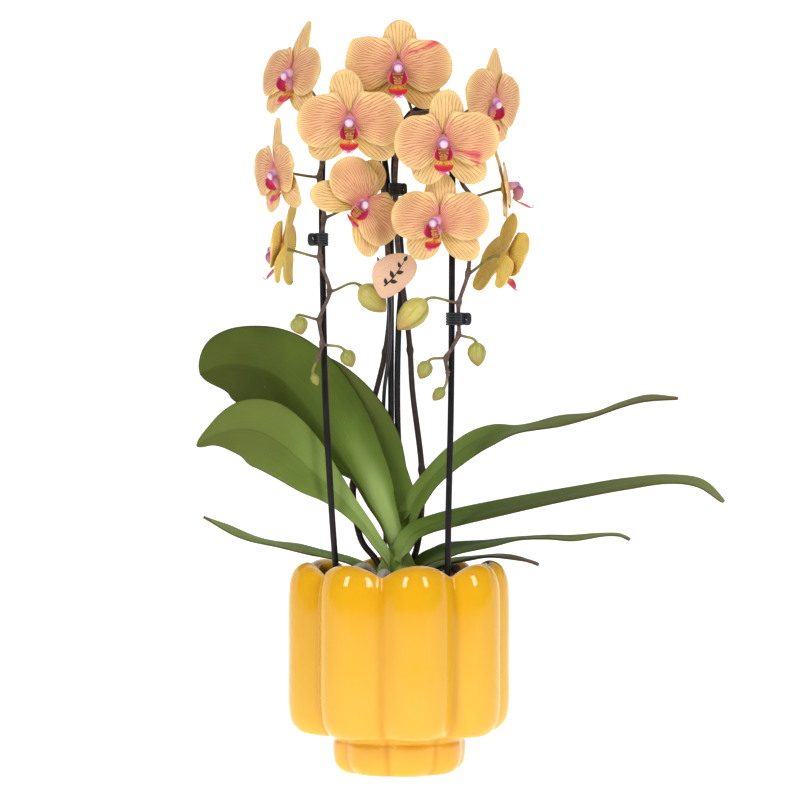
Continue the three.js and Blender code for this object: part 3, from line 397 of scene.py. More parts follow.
# How far behind the base the fan of veins starts, its lanes for each radian and its two forks, in
# bloom sizes; the flesh from the rib to the margin, its blush and its heart; the veins and their
# strength.
tepalLooks = {
    "petalFlesh": {"behind": 0.14, "lanes": 6.6, "forks": (0.38, 0.7),
                   "flesh": [(0, "#dda97d"), (0.5, "#e0b47f"), (0.8, "#e8c486"), (1, "#eccf8b")],
                   "blush": "#dda27b", "heart": "#e38f88", "vein": "#b0583a", "strength": 0.86},
    "sepalFlesh": {"behind": 0.6, "lanes": 10, "forks": (0.85, 1.3),
                   "flesh": [(0, "#e2ba80"), (0.55, "#e8c488"), (0.85, "#e9cb8b"), (1, "#e8cf90")],
                   "blush": "#e2b072", "heart": "#dd9478", "vein": "#a86e3a", "strength": 0.78},
}


def tepalFlesh(name):
    # Thin fleshy petal with a frosted cell surface. The veins spread from the base, fork on the way
    # out and lie a little lower than the flesh between them. UV is in shares of half a bloom, so the
    # fan is drawn in the frame of the tepal's own base.
    look = tepalLooks[name]
    material, add = newMaterial(name)
    surface = add("TexCoord", output="UV")
    under, margin, streak, heart, olive = (add("Attribute", attribute_name=key)
                                           for key in ("under", "margin", "streak", "heart", "olive"))
    gap = forkedVeins(add, surface, look["behind"], look["lanes"], look["forks"])
    drawn = add("MapRange", {0: gap, 1: 0.0015, 2: 0.0088, 3: 1, 4: 0}, interpolation_type="SMOOTHSTEP")
    bead = add("TexNoise", {"Vector": surface, "Scale": 42, "Detail": 2})
    beaded = add("MapRange", {0: bead, 1: 0.3, 2: 0.6, 3: 0.45, 4: 1})
    broken = add("Math", {0: drawn, 1: beaded}, operation="MULTIPLY")
    cloud = add("TexNoise", {"Vector": surface, "Scale": 4, "Detail": 2})
    blush = add("MapRange", {0: cloud, 1: 0.35, 2: 0.7, 3: 0, 4: 0.4})
    flesh = add("ValToRGB", {0: margin}, stops=look["flesh"])
    vein = add("Mix", {0: olive, 6: look["vein"], 7: "#84521f"})
    veinHeart = add("Mix", {0: heart, 6: vein, 7: "#b83c4a"})
    fade = add("MapRange", {0: margin, 1: 0.8, 2: 1, 3: look["strength"], 4: 0.15})
    veined = add("Math", {0: broken, 1: fade}, operation="MULTIPLY")
    backVeined = add("Math", {0: broken, 1: 0.45}, operation="MULTIPLY")
    backTone = add("ValToRGB", {0: cloud}, stops=[(0.3, "#e8ba52"), (0.5, "#eec75a"), (0.7, "#e4cf60")])
    back = add("Mix", {0: backVeined, 6: backTone, 7: "#9a6a28"})
    relief = add("Math", {0: drawn, 1: -1, 2: bead}, operation="MULTIPLY_ADD")
    return finished(material, flesh, [(blush, look["blush"]), (olive, "#d6b254"), (heart, look["heart"]),
                                      (veined, veinHeart), (under, back), (streak, "#cf2f52")],
                    (0.5, 0.0003, relief), Roughness=0.6, Specular_IOR_Level=0.25,
                    Subsurface_Weight=0.1, Subsurface_Scale=0.0012)


def sideLobeFlesh():
    # cupped side lobe: dark crimson inside, mauve to peach outside, with an orange rim
    material, add = newMaterial("sideLobeFlesh")
    surface = add("TexCoord", output="UV")
    along = add("SeparateXYZ", {0: surface})
    margin = add("Math", {0: along.node.outputs["Y"]}, operation="ABSOLUTE")
    mottle = add("TexNoise", {"Vector": surface, "Scale": 7, "Detail": 3})
    shifted = add("Math", {0: mottle, 1: 0.25, 2: along}, operation="MULTIPLY_ADD")
    inside = add("ValToRGB", {0: shifted}, stops=[(0.1, "#c2663a"), (0.3, "#b8263f"), (0.6, "#c41e54"),
                                                  (0.9, "#cc3479"), (1.1, "#c64c86")])
    outside = add("ValToRGB", {0: shifted}, stops=[(0.1, "#d6a284"), (0.45, "#cf949b"), (0.8, "#c686a3"),
                                                   (1.1, "#ac4f7c")])
    rim = add("MapRange", {0: margin, 1: 0.84, 2: 0.97, 3: 0, 4: 0.75})
    return finished(material, inside, [(add("Attribute", attribute_name="under"), outside), (rim, "#e07a4e")],
                    (0.2, 0.0003, mottle), Roughness=0.35, Subsurface_Weight=0.08, Subsurface_Scale=0.001)


def middleLobeFlesh():
    # middle lobe: a yellow orange neck with a red line down it, then a crimson shield, pink at the tip
    material, add = newMaterial("middleLobeFlesh")
    surface = add("TexCoord", output="UV")
    along = add("SeparateXYZ", {0: surface})
    margin = add("Math", {0: along.node.outputs["Y"]}, operation="ABSOLUTE")
    mottle = add("TexNoise", {"Vector": surface, "Scale": 8, "Detail": 3})
    shifted = add("Math", {0: mottle, 1: 0.12, 2: along}, operation="MULTIPLY_ADD")
    body = add("ValToRGB", {0: shifted}, stops=[(0.1, "#d99a3c"), (0.34, "#eaa53f"), (0.45, "#e58a3c"),
                                                (0.54, "#d5392f"), (0.75, "#c81f3c"), (0.95, "#d02c5e"),
                                                (1.05, "#dd6f9c")])
    line = add("MapRange", {0: margin, 1: 0.1, 2: 0.3, 3: 0.8, 4: 0})
    neck = add("MapRange", {0: along, 1: 0.3, 2: 0.5, 3: 1, 4: 0.15})
    stripe = add("Math", {0: line, 1: neck}, operation="MULTIPLY")
    return finished(material, body, [(stripe, "#a81f1e")], (0.2, 0.0003, mottle), Roughness=0.36,
                    Subsurface_Weight=0.08, Subsurface_Scale=0.001)


def columnWax():
    # waxy column: pink at its root, a violet collar at its end
    material, add = newMaterial("columnWax")
    surface = add("TexCoord", output="UV")
    tone = add("TexNoise", {"Vector": surface, "Scale": 5, "Detail": 2})
    shifted = add("Math", {0: tone, 1: 0.3, 2: add("SeparateXYZ", {0: surface})}, operation="MULTIPLY_ADD")
    body = add("ValToRGB", {0: shifted}, stops=[(0.15, "#e2908a"), (0.45, "#dba3b8"), (0.7, "#dcb3d0"),
                                                (0.98, "#cc98cc"), (1.2, "#a866a4")])
    return finished(material, body, Roughness=0.35, Subsurface_Weight=0.15, Subsurface_Scale=0.001)


def callusWax():
    # the yellow throat between the side lobes, barred red brown across
    material, add = newMaterial("callusWax")
    surface = add("TexCoord", output="UV")
    tone = add("TexNoise", {"Vector": surface, "Scale": 6, "Detail": 2})
    bars = add("Math", {0: add("SeparateXYZ", {0: surface}), 1: 26, 2: tone}, operation="MULTIPLY_ADD")
    barred = add("MapRange", {0: add("Math", {0: bars}, operation="SINE"), 1: 0.1, 2: 0.8, 3: 0, 4: 0.55})
    body = add("ValToRGB", {0: tone}, stops=[(0.3, "#d39a4c"), (0.5, "#e2b06c"), (0.7, "#d08660")])
    return finished(material, body, [(barred, "#a63a26")], Roughness=0.38)


def budSkin():
    # tight waxy bud: green when young, yellow when ripe, with faint lengthwise ribs, seams darkened with
    # painted shade and a rusty flush at the tip
    material, add = newMaterial("budSkin")
    surface = add("TexCoord", output="UV")
    ripe, seam = (add("Attribute", attribute_name=key) for key in ("ripe", "seam"))
    stretched = add("Mapping", {"Vector": surface, "Scale": (1.5, 16, 1)})
    ribs = add("TexNoise", {"Vector": stretched, "Scale": 2, "Detail": 2})
    young = add("ValToRGB", {0: ribs}, stops=[(0.3, "#667427"), (0.55, "#838d3c"), (0.75, "#9ea04e")])
    old = add("ValToRGB", {0: ribs}, stops=[(0.3, "#b4a94b"), (0.55, "#c1b65d"), (0.75, "#cac070")])
    tip = add("MapRange", {0: add("SeparateXYZ", {0: surface}), 1: 0.5, 2: 1, 3: 0, 4: 0.6})
    # the seam mark paints shade where the sepals meet
    return finished(material, young, [(ripe, old), (tip, "#a4693c"), (seam, "#8c8236")],
                    (0.2, 0.0004, ribs), Roughness=0.4, Subsurface_Weight=0.15, Subsurface_Scale=0.002)


glaze, bark, leafGreen, rootSkin, stemBrown = (make() for make in (glazedEarthenware, pineBark, orchidLeaf,
                                                                   silveryRoot, flowerStem))
petalPeach, sepalYellow = (tepalFlesh(name) for name in tepalLooks)
lobeCrimson, shieldRed, columnViolet, callusYellow, budGreen = (
    make() for make in (sideLobeFlesh, middleLobeFlesh, columnWax, callusWax, budSkin))
nurseryPlastic, sheathGreen, wireBlack, capPearl, clipBlack, springGrey, cardPeach, inkBlack = (
    plainFinish(name) for name in plainFinishes)
print("materials made:", len(bpy.data.materials))


# radii of the lobes, the grooves and the foot, the rim's height over a lobe and over a groove, and
# the height and rounding of the shoulder over the foot; then the turns of averaging that soften the
# creases low down and at the rim, and the level of the rim's pale line
pot = {"lobes": 8, "lobeTurn": 11.5, "lobe": 59.4, "groove": 48.8, "foot": 35.5, "top": 111.3, "dip": 104.3,
       "low": 20.0, "corner": 13.0, "wall": 3.8, "sides": 320, "soften": 18, "softenRim": 4, "rimLine": 16.2}


def potSurface():
    # Each level has the radius and height of the lobe's middle and of the groove. A lobe is an arc
    # between two grooves, and the height falls from its middle as share^2. The creases are softened
    # by averaging each ring over its neighbours, as the glaze does.
    lobe, groove, foot, low = pot["lobe"], pot["groove"], pot["foot"], pot["low"]
    top, dip, wall, corner = pot["top"], pot["dip"], pot["wall"], pot["corner"]
    levels = np.array([
        [1, 0, 1, 0], [foot - 8.5, 0, foot - 10.5, 0], [foot - 4.2, 1.3, foot - 7, 1.6],
        [foot - 1.2, 4.6, foot - 4, 5], [foot - 0.2, 9, foot - 2.6, 9.5],
        [foot, low - 4.4, foot - 2.4, low - 4.6],
        [foot - 0.8, low - 2.4, foot - 2.2, low - 2.4], [foot + 1, low - 0.2, foot - 1, low - 0.2],
        [lobe - corner, low + 0.3, groove - 6.5, low + 1.2],
        [lobe - corner * 0.5, low + corner * 0.134, groove - 4.4, low + 4.6],
        [lobe - corner * 0.134, low + corner * 0.5, groove - 2.2, low + 10],
        [lobe, low + corner, groove - 0.6, low + 17], [lobe + 0.2, 64, groove + 0.2, 62],
        [lobe, top - 16, groove, dip - 14], [lobe - 1.3, top - 8, groove - 0.2, dip - 7],
        [lobe - 4.7, top - 2.1, groove - 0.6, dip - 2.4], [lobe - 9.4, top, groove - 1.3, dip],
        [lobe - 12.2, top - 0.7, groove - 3.4, dip - 0.7], [lobe - 12.6, top - 4, groove - wall, dip - 4],
        [lobe - 8, top - 9.5, groove - wall, dip - 9], [lobe - wall, top - 18, groove - wall, dip - 16],
        [lobe - wall, low + corner, groove - wall, low + corner],
        [lobe - corner, low + 4.6, groove - 6.5, low + 4.8], [foot - 5.5, low + 4, foot - 7.5, low + 4],
        [foot - 5, 7, foot - 7.5, 7], [1, 5, 1, 5],
    ])
    rows = 8 * (len(levels) - 1) + 1
    level = splineThrough(levels, np.linspace(0, 1, rows))
    level[:, 1::2] = np.maximum(level[:, 1::2], 0)
    lobeR, lobeZ, grooveR, grooveZ = (level[:, k:k + 1] for k in range(4))
    half = np.pi / pot["lobes"]
    place = np.linspace(0, 2 * pot["lobes"], pot["sides"], endpoint=False)
    share = (place % 2 - 1)[None]
    middle = np.floor(place / 2) * 2 * half + np.radians(pot["lobeTurn"] - 90)
    chord, stand = grooveR * np.sin(half), grooveR * np.cos(half)
    bulge = np.maximum(lobeR - stand, 0.02)
    arc = (chord ** 2 + bulge ** 2) / (2 * bulge)
    centre = lobeR - arc
    reach = np.arctan2(chord, stand - centre)
    out, aside = centre + arc * np.cos(reach * share), arc * np.sin(reach * share)
    height = grooveZ + (lobeZ - grooveZ) * (1 - share ** 2)
    rings = np.stack([out * np.cos(middle) - aside * np.sin(middle),
                      out * np.sin(middle) + aside * np.cos(middle), height], -1)
    soft = rings
    for step in range(pot["soften"]):
        soft = (np.roll(soft, 1, 1) + 2 * soft + np.roll(soft, -1, 1)) / 4
        rings = soft if step < pot["softenRim"] else rings
    rings = rings + (soft - rings) * smoothRise(108, 88, rings[..., 2:])
    levelAt = np.linspace(0, len(levels) - 1, rows)[:, None]
    # low grows towards the foot, where it paints the glaze paler as painted light from the floor
    return patch(rings, groove=0.55 * smoothRise(0.8, 1.0, np.abs(share)),
                 rim=0.5 * np.exp(-((levelAt - pot["rimLine"]) / 0.5) ** 2), low=smoothRise(96, 22, height))


makePiece("glazedPot", [potSurface()], [glaze], "decor_pot")
print("pot thrown")

growPot = {"bottom": 24.5, "bottomRadius": 33.4, "rim": 103.4, "rimRadius": 43.6, "wall": 1.2, "ribs": 40,
           "ribHeight": 0.004, "sides": 160}


def turned(profile, sides, **marks):
    # the profile of radius and height, turned about the upright axis
    angle = np.linspace(0, turn, sides, endpoint=False)[None]
    r, z = profile[:, :1], profile[:, 1:2]
    return patch(np.stack([r * np.cos(angle), r * np.sin(angle), z + 0 * angle], -1), **marks)


def nurseryCup():
    # a plain taper with a rolled rim, ribbed by a cosine on the radius
    bottom, top, wall = growPot["bottom"], growPot["rim"], growPot["wall"]
    low, high = growPot["bottomRadius"], growPot["rimRadius"]
    profile = np.array([[0.5, bottom], [low - 2, bottom], [low, bottom + 1.5], [high - 1.6, top - 3.6],
                        [high - 0.1, top - 3], [high, top - 0.4], [high - 0.5, top],
                        [high - 1.6 - wall, top - 0.2], [high - 1.8 - wall, top - 1.2],
                        [low - wall, bottom + wall], [0.5, bottom + wall]])
    cup = turned(profile, growPot["sides"])
    angle = np.linspace(0, turn, growPot["sides"], endpoint=False)
    rib = 1 + growPot["ribHeight"] * np.cos(growPot["ribs"] * angle)
    cup["rings"][2:4, :, :2] *= rib[None, :, None]
    return cup


makePiece("nurseryCup", [nurseryCup()], [nurseryPlastic], "grow_pot", sharp=40)

barkBed = {"top": 101.5, "chips": 420, "seed": 5, "size": (9.0, 6.0, 3.2), "reach": 38.5, "tilt": 0.35}
goldenAngle = 2.399963


def barkChips():
    # Blocks of five rings of eight corners, each corner pushed by a random step, lying nearly flat
    # and spread over the bed in a sunflower's spiral.
    draw = np.random.default_rng(barkBed["seed"])
    around = np.array([[-1, -1], [0, -1.1], [1, -1], [1.1, 0], [1, 1], [0, 1.1], [-1, 1], [-1.1, 0]]) * 0.5
    levels = [(-0.5, 0.6), (-0.4, 0.95), (0.0, 1.0), (0.4, 0.9), (0.5, 0.55)]
    plain = np.array([[[x * grow, y * grow, z] for x, y in around] for z, grow in levels])
    chips = []
    for i in range(barkBed["chips"]):
        size = np.array(barkBed["size"]) * draw.uniform(0.45, 1.25, 3)
        block = (plain + draw.normal(0, 0.07, plain.shape)) * size
        spin, tilt, nod = np.degrees([draw.uniform(0, turn), *draw.normal(0, barkBed["tilt"], 2)])
        lie = rotation(2, spin) @ rotation(0, tilt) @ rotation(1, nod)
        out, way = barkBed["reach"] * np.sqrt((i + 0.5) / barkBed["chips"]), i * goldenAngle
        lift = barkBed["top"] + 1.2 - 0.0016 * out ** 2 + draw.uniform(-2.2, 1.2)
        place = np.array([out * np.cos(way), out * np.sin(way), lift])
        chips.append(patch(block @ lie.T + place, shade=draw.uniform(0.6, 1.4)))
    return chips


bedProfile = np.array([[0.5, 26.2], [31.5, 26.2], [39.6, 97.0], [37.5, 99.0], [30.0, 100.8], [0.5, 101.6]])
makePiece("barkBed", [turned(bedProfile, 64, shade=0.7), *barkChips()], [bark], "bark", sharp=50)
print("bark laid")


# A station is x, y and z of the rib, its roll, the fold of both halves and the half-width. The tip
# starts to close at the share round, and waist draws in one half near the foot by that share. Tone
# gives the tones of foot, middle and tip, partly the leaf's own colour and partly painted light and
# shade; how much darker the half with v above 0 is, as painted shade; how grey the tip gets, as a
# painted sheen; and how much paler the foot of the other half is, as painted light. Brown is how
# withered the tip is, from the share brownFrom on.
leaves = {
    "leaf_left_top": {"round": 0.84, "waist": 0.9,
        "tone": [0.55, 0.31, 0.22, 0.22, 0.25, 0.6], "stations": [
        [-3, -2, 113.5, 52, 25, 6], [-9.3, 0, 130.5, 48, 40, 11.2], [-16, 2, 141, 46, 43, 17],
        [-23.5, 3.5, 154, 47, 42, 21.3], [-36.6, 5.5, 173.3, 58, 30, 26.8], [-53.2, 5.5, 195.5, 68, 20, 29],
        [-66, 4.5, 208.5, 74, 13, 27], [-78.6, 2, 213.6, 72, 9, 24], [-93, -2, 214.8, 74, 7, 18.5],
        [-105.5, -6, 210.5, 70, 6, 12]]},
    "leaf_left_rear": {"round": 0.7, "waist": 0.75,
        "tone": [0.5, 0.44, 0.34, 0.05, 0.5, 0.0], "stations": [
        [-4, 4.8, 108, 70, 5, 4], [-4.6, 10.2, 117, 84, 5, 8], [-6.1, 13.6, 138.2, 87, 5, 15.5],
        [-14.7, 13.5, 155.1, 88, 5, 20], [-22.1, 13.3, 171.6, 88, 5, 23], [-32.8, 13.3, 187.1, 88, 5, 23.5],
        [-46.7, 13, 201, 86, 5, 21.5], [-59.4, 12.2, 209.5, 84, 4, 18], [-69, 11.4, 212.7, 80, 4, 13]]},
    "leaf_left_front": {"round": 0.97,
        "tone": [0.95, 0.6, 0.4, 0.1, 0.4, 0.05], "stations": [
        [-6.5, -10, 105, 60, 22, 4], [-8, -12, 115, 72, 22, 4], [-12.6, -14.5, 122.5, 80, 22, 3.8],
        [-17.3, -16, 129.8, 82, 20, 4], [-26.5, -17.5, 140.7, 84, 16, 5.6],
        [-35.7, -18.2, 150.2, 84, 12, 8.8], [-45.4, -19.5, 158.7, 82, 9, 13],
        [-54, -20.5, 166.7, 80, 8, 15.8], [-62.2, -21.2, 173.4, 78, 7, 17.8],
        [-70.6, -22, 178.6, 76, 6, 18.8], [-79.9, -23, 181, 74, 6, 16.8], [-89.1, -24, 180.2, 70, 6, 12],
        [-98.1, -25.2, 177.4, 68, 6, 5.6], [-105.9, -26, 172.5, 66, 6, 1.6]]},
    "leaf_left_low": {"round": 0.8, "brown": 0.9, "brownFrom": 0.93,
        "tone": [0.5, 0.65, 0.95, 0.1, 0.4, 0.0], "stations": [
        [-9, 0, 104, 8, 8, 4.5], [-15.7, 1, 106.8, 9, 8, 6.5], [-27.1, 2, 111.2, 7, 6, 10],
        [-40.3, 2, 114.8, 7, 5, 12], [-51.7, 1, 117.5, 7, 4, 12.5], [-65.2, 0, 120.1, 5, 3, 12],
        [-78.6, -1, 123.6, 6, 3, 10.5], [-92.2, -1.5, 129.1, 9, 3, 8], [-103.8, -2, 134.8, 10, 3, 4]]},
    "leaf_right_top": {"round": 0.93, "brown": 0.35, "brownFrom": 0.85,
        "tone": [0.62, 0.42, 0.3, -0.1, 0.5, 0.0], "stations": [
        [2.4, 5.2, 112, -80, 10, 4.5], [2.6, 7, 122, -74, 10, 6], [3.6, 7.4, 133, -56, 10, 7.5],
        [13.4, 6.5, 149.6, -37, 8, 9.8], [25.3, 4.8, 162.8, -30, 6, 12.8], [39.5, 3, 173.8, -26, 5, 15],
        [50, 1.6, 178.4, -21, 4, 15.3], [61.5, 0.4, 180.7, -9, 3, 15.2], [71.5, -0.6, 182.6, -7, 3, 15],
        [86.3, -1.6, 185.9, -10, 3, 14.5], [102.9, -3.4, 188.9, -5, 3, 13.5], [116.9, -5, 193.9, -8, 3, 12],
        [130.5, -6.8, 197.5, -9, 2, 10], [147, -8, 197.6, -9, 2, 2.6]]},
    "leaf_right_mid": {"round": 0.88, "brown": 0.3,
        "tone": [0.8, 0.22, 0.85, -0.06, 0.5, 0.1], "stations": [
        [0.4, -10.5, 111, -50, 20, 5.5], [2, -11, 118, -44, 18, 7], [7.4, -10.8, 125.6, -28, 14, 9],
        [15, -10.2, 129.6, -20, 10, 11], [27.7, -9.5, 133.8, -17.5, 7, 13], [59.3, -8, 140.8, -14, 5, 15],
        [97.2, -7.5, 148.2, -10, 4, 15], [120, -8.4, 152.5, -9.5, 4, 14.4], [142, -10.4, 155.1, -9.5, 3, 13],
        [158.4, -12.6, 152.5, -11, 3, 10.4], [170.6, -14, 143.1, -13, 3, 6]]},
    "leaf_right_low": {"round": 0.86, "brown": 0.9,
        "tone": [0.3, 0.42, 0.95, 0.0, 0.4, 0.0], "stations": [
        [8, -3.2, 107.6, -20, 8, 5], [13.4, -2.6, 112, -20, 8, 8], [21.5, -1.6, 115.2, -16, 7, 10.4],
        [29.1, 0, 117.6, -11, 6, 12.2], [46.9, 3, 120.4, -4, 4, 13], [61, 5, 122.7, -1, 3, 13],
        [78.7, 6.4, 123.4, -1.5, 3, 12.2], [91.4, 7, 123.2, -3, 3, 11.3], [107, 8, 124.8, -2, 3, 9.6],
        [117, 8, 124.6, -3, 3, 7.5], [122.8, 8, 122.4, -5, 2, 5]]},
    "leaf_right_under": {"round": 0.8, "brown": 0.95, "brownFrom": 0.1,
        "tone": [0.5, 0.6, 0.8, 0.0, 0.6, 0.0], "stations": [
        [9, 5.4, 102.5, -2, 4, 3.5], [15.3, 11.5, 106.4, -4, 4, 5.5], [28.1, 16, 110.5, -4, 3, 7.5],
        [38.4, 16.5, 112.2, -2, 2, 8.5], [50, 16.2, 113.2, -2, 2, 8.5], [61, 15.6, 112.6, -3, 2, 7.5],
        [69, 15, 110.6, -4, 2, 6], [74.6, 15, 108.6, -5, 2, 4]]},
}
leafBuild = {"thickness": 1.5, "rows": 96, "columns": 29, "channel": 0.09, "recurve": 0.05}


def leafSurface(shape):
    # The rib is the spline of the stations. A point stands v half-widths to the side, both sides
    # lifted by the fold as sqrt(v^2 + c^2) - c, so the midrib is a soft channel, and the margins
    # turn down as v^4. The tip closes as the root of 1 - past^2.2.
    rows = np.array(shape["stations"], float)

    def surface(u, v):
        t, step = np.clip(u, 0, 1), 1e-3
        middle = splineThrough(rows[:, :3], t)
        along = unit(splineThrough(rows[:, :3], np.minimum(t + step, 1))
                     - splineThrough(rows[:, :3], np.maximum(t - step, 0)))
        level = unit(np.stack([along[..., 1], -along[..., 0], 0 * t], -1))
        up = np.cross(level, along)
        roll, fold, half = np.moveaxis(splineThrough(rows[:, 3:], t, 0), -1, 0)
        roll, fold = np.radians(roll)[..., None], np.radians(fold)
        across = level * np.cos(roll) + up * np.sin(roll)
        face = up * np.cos(roll) - level * np.sin(roll)
        past = np.clip((t - shape["round"]) / (1 - shape["round"]), 0, 1)
        half = half * np.sqrt(np.maximum(1 - past ** 2.2, 1e-4))
        half = half * (1 - shape.get("waist", 0) * smoothRise(0, 0.3, v) * smoothRise(0.52, 0.32, t))
        c = leafBuild["channel"]
        lift = half * (np.sqrt(v ** 2 + c ** 2) - c) * np.sin(fold) - leafBuild["recurve"] * half * v ** 4
        wave = 0.35 * np.sin(19 * t + 2.5 * v) * np.abs(v) ** 2 * smoothRise(0.1, 0.4, t)
        reach = -v * half * np.cos(fold)
        return middle + across * reach[..., None] + face * (lift + wave)[..., None]
    return surface


def leafBlade(shape):
    # the blade, with its tone and its painted light and shade, its grey tip of painted sheen and its
    # withered end worked out over u and v
    foot, middle, tip, paintedShade, tipSheen, paintedLight = shape["tone"]
    brown, brownFrom = shape.get("brown", 0), shape.get("brownFrom", 0.9)

    def shade(u, v):
        along = splineThrough([foot, middle, tip], u)[..., 0]
        # painted light on the foot of the half below v = 0, and painted shade over the half above it
        lit = paintedLight * np.exp(-((v + 0.45) / 0.33) ** 2) * smoothRise(0.6, 0.2, u)
        return along - paintedShade * smoothRise(-0.04, 0.04, v) * smoothRise(0.05, 0.3, u) + lit
    # the grey towards the tip is a painted sheen
    return blade(leafSurface(shape), leafBuild["thickness"], leafBuild["rows"], leafBuild["columns"],
                 crowding=0.5, edge=0.35, shade=shade, dull=lambda u, v: tipSheen * smoothRise(0.25, 0.85, u),
                 brown=lambda u, v: brown * smoothRise(brownFrom, 1.0, u))


for leafName, leafShape in leaves.items():
    makePiece(leafName + "_blade", [leafBlade(leafShape)], [leafGreen], leafName)
print("leaves grown:", len(leaves))

crownShape = {"levels": [[90, 7], [97, 9.8], [105, 10.2], [111, 8.4], [116, 6], [120, 3.4], [122, 1.6]],
              "rows": 60, "sides": 72}


def crownSurface():
    # an oval stem whose outline swells into clasping sheaths, as a cosine of four waves round it
    level = splineThrough(crownShape["levels"], np.linspace(0, 1, crownShape["rows"]))
    height, radius = level[:, :1], level[:, 1:2]
    angle = np.linspace(0, turn, crownShape["sides"], endpoint=False)[None]
    swell = 1 + 0.05 * np.cos(4 * angle + 0.25 * height) + 0.02 * np.cos(11 * angle)
    return patch(np.stack([-1 + 1.08 * radius * swell * np.cos(angle),
                           -2 + 0.83 * radius * swell * np.sin(angle), height + 0 * angle], -1))


makePiece("crownStem", [crownSurface()], [sheathGreen], "crown")

roots = {
    "root_left": {"radius": 2.1, "route": [[-12, -8, 101], [-16, -13, 108], [-20, -18, 109.8],
                                           [-24, -23, 107], [-26, -26, 98]]},
    "root_front": {"radius": 2.5, "route": [[-3, -15, 99], [-6, -21, 104.5], [-9, -29, 106.3],
                                            [-10.5, -34, 103], [-10.5, -34.5, 95]]},
    "root_rear": {"radius": 2.3, "route": [[11, 7, 100.5], [19, 17, 105.5], [27, 24, 107], [32, 19.5, 105],
                                           [32.5, 16, 96]]},
}
for rootName, rootShape in roots.items():
    share = np.linspace(0, 1, 60)
    path = evenPath(rootShape["route"], len(share))
    girth = rootShape["radius"] * (1 - 0.2 * share + 0.05 * np.sin(21 * share) + 0.03 * np.sin(47 * share))
    makePiece(rootName + "_skin", [tube(path, girth, 20, tip=smoothRise(0.75, 1, share)[:, None])],
              [rootSkin], rootName)
print("crown and roots set")


hoops = {
    "hoop_left": [
        [-26, -15, 48], [-30.5, -18.5, 80], [-32.9, -19.8, 104], [-35, -26, 133], [-36.3, -28, 155],
        [-38.5, -28.5, 197], [-39.9, -29, 257], [-40.4, -29.5, 300], [-39.3, -29, 332], [-36, -28.5, 348],
        [-30, -27, 357], [-21.6, -23, 357], [-14.4, -17.5, 348], [-9.8, -12, 334], [-5.9, -3, 307],
        [-4.6, 2.5, 280], [-4.5, 7.5, 250], [-4.5, 17, 186], [-3.5, 20.5, 111], [-3, 20.5, 48]],
    "hoop_right": [
        [17, -20, 48], [21.5, -26, 80], [24.7, -30, 104], [25.5, -31, 140], [26.8, -31.5, 197],
        [27.3, -32, 270], [27.4, -32, 318], [26.2, -32, 339], [22, -30.5, 347], [14, -26, 349.5],
        [6, -20, 347], [-0.4, -15.5, 336], [-2.8, -12, 322], [-2.4, -9, 306], [0.2, -4.4, 284],
        [1.2, 0.5, 262], [-0.5, 6.5, 235], [-1, 16.8, 186], [3, 20.5, 111], [3.5, 20, 48]],
}
wireRadius = 1.65
for hoopName, route in hoops.items():
    makePiece(hoopName + "_wire", [tube(evenPath(route, 260), wireRadius, 20)], [wireBlack],
              hoopName)
print("hoops bent")


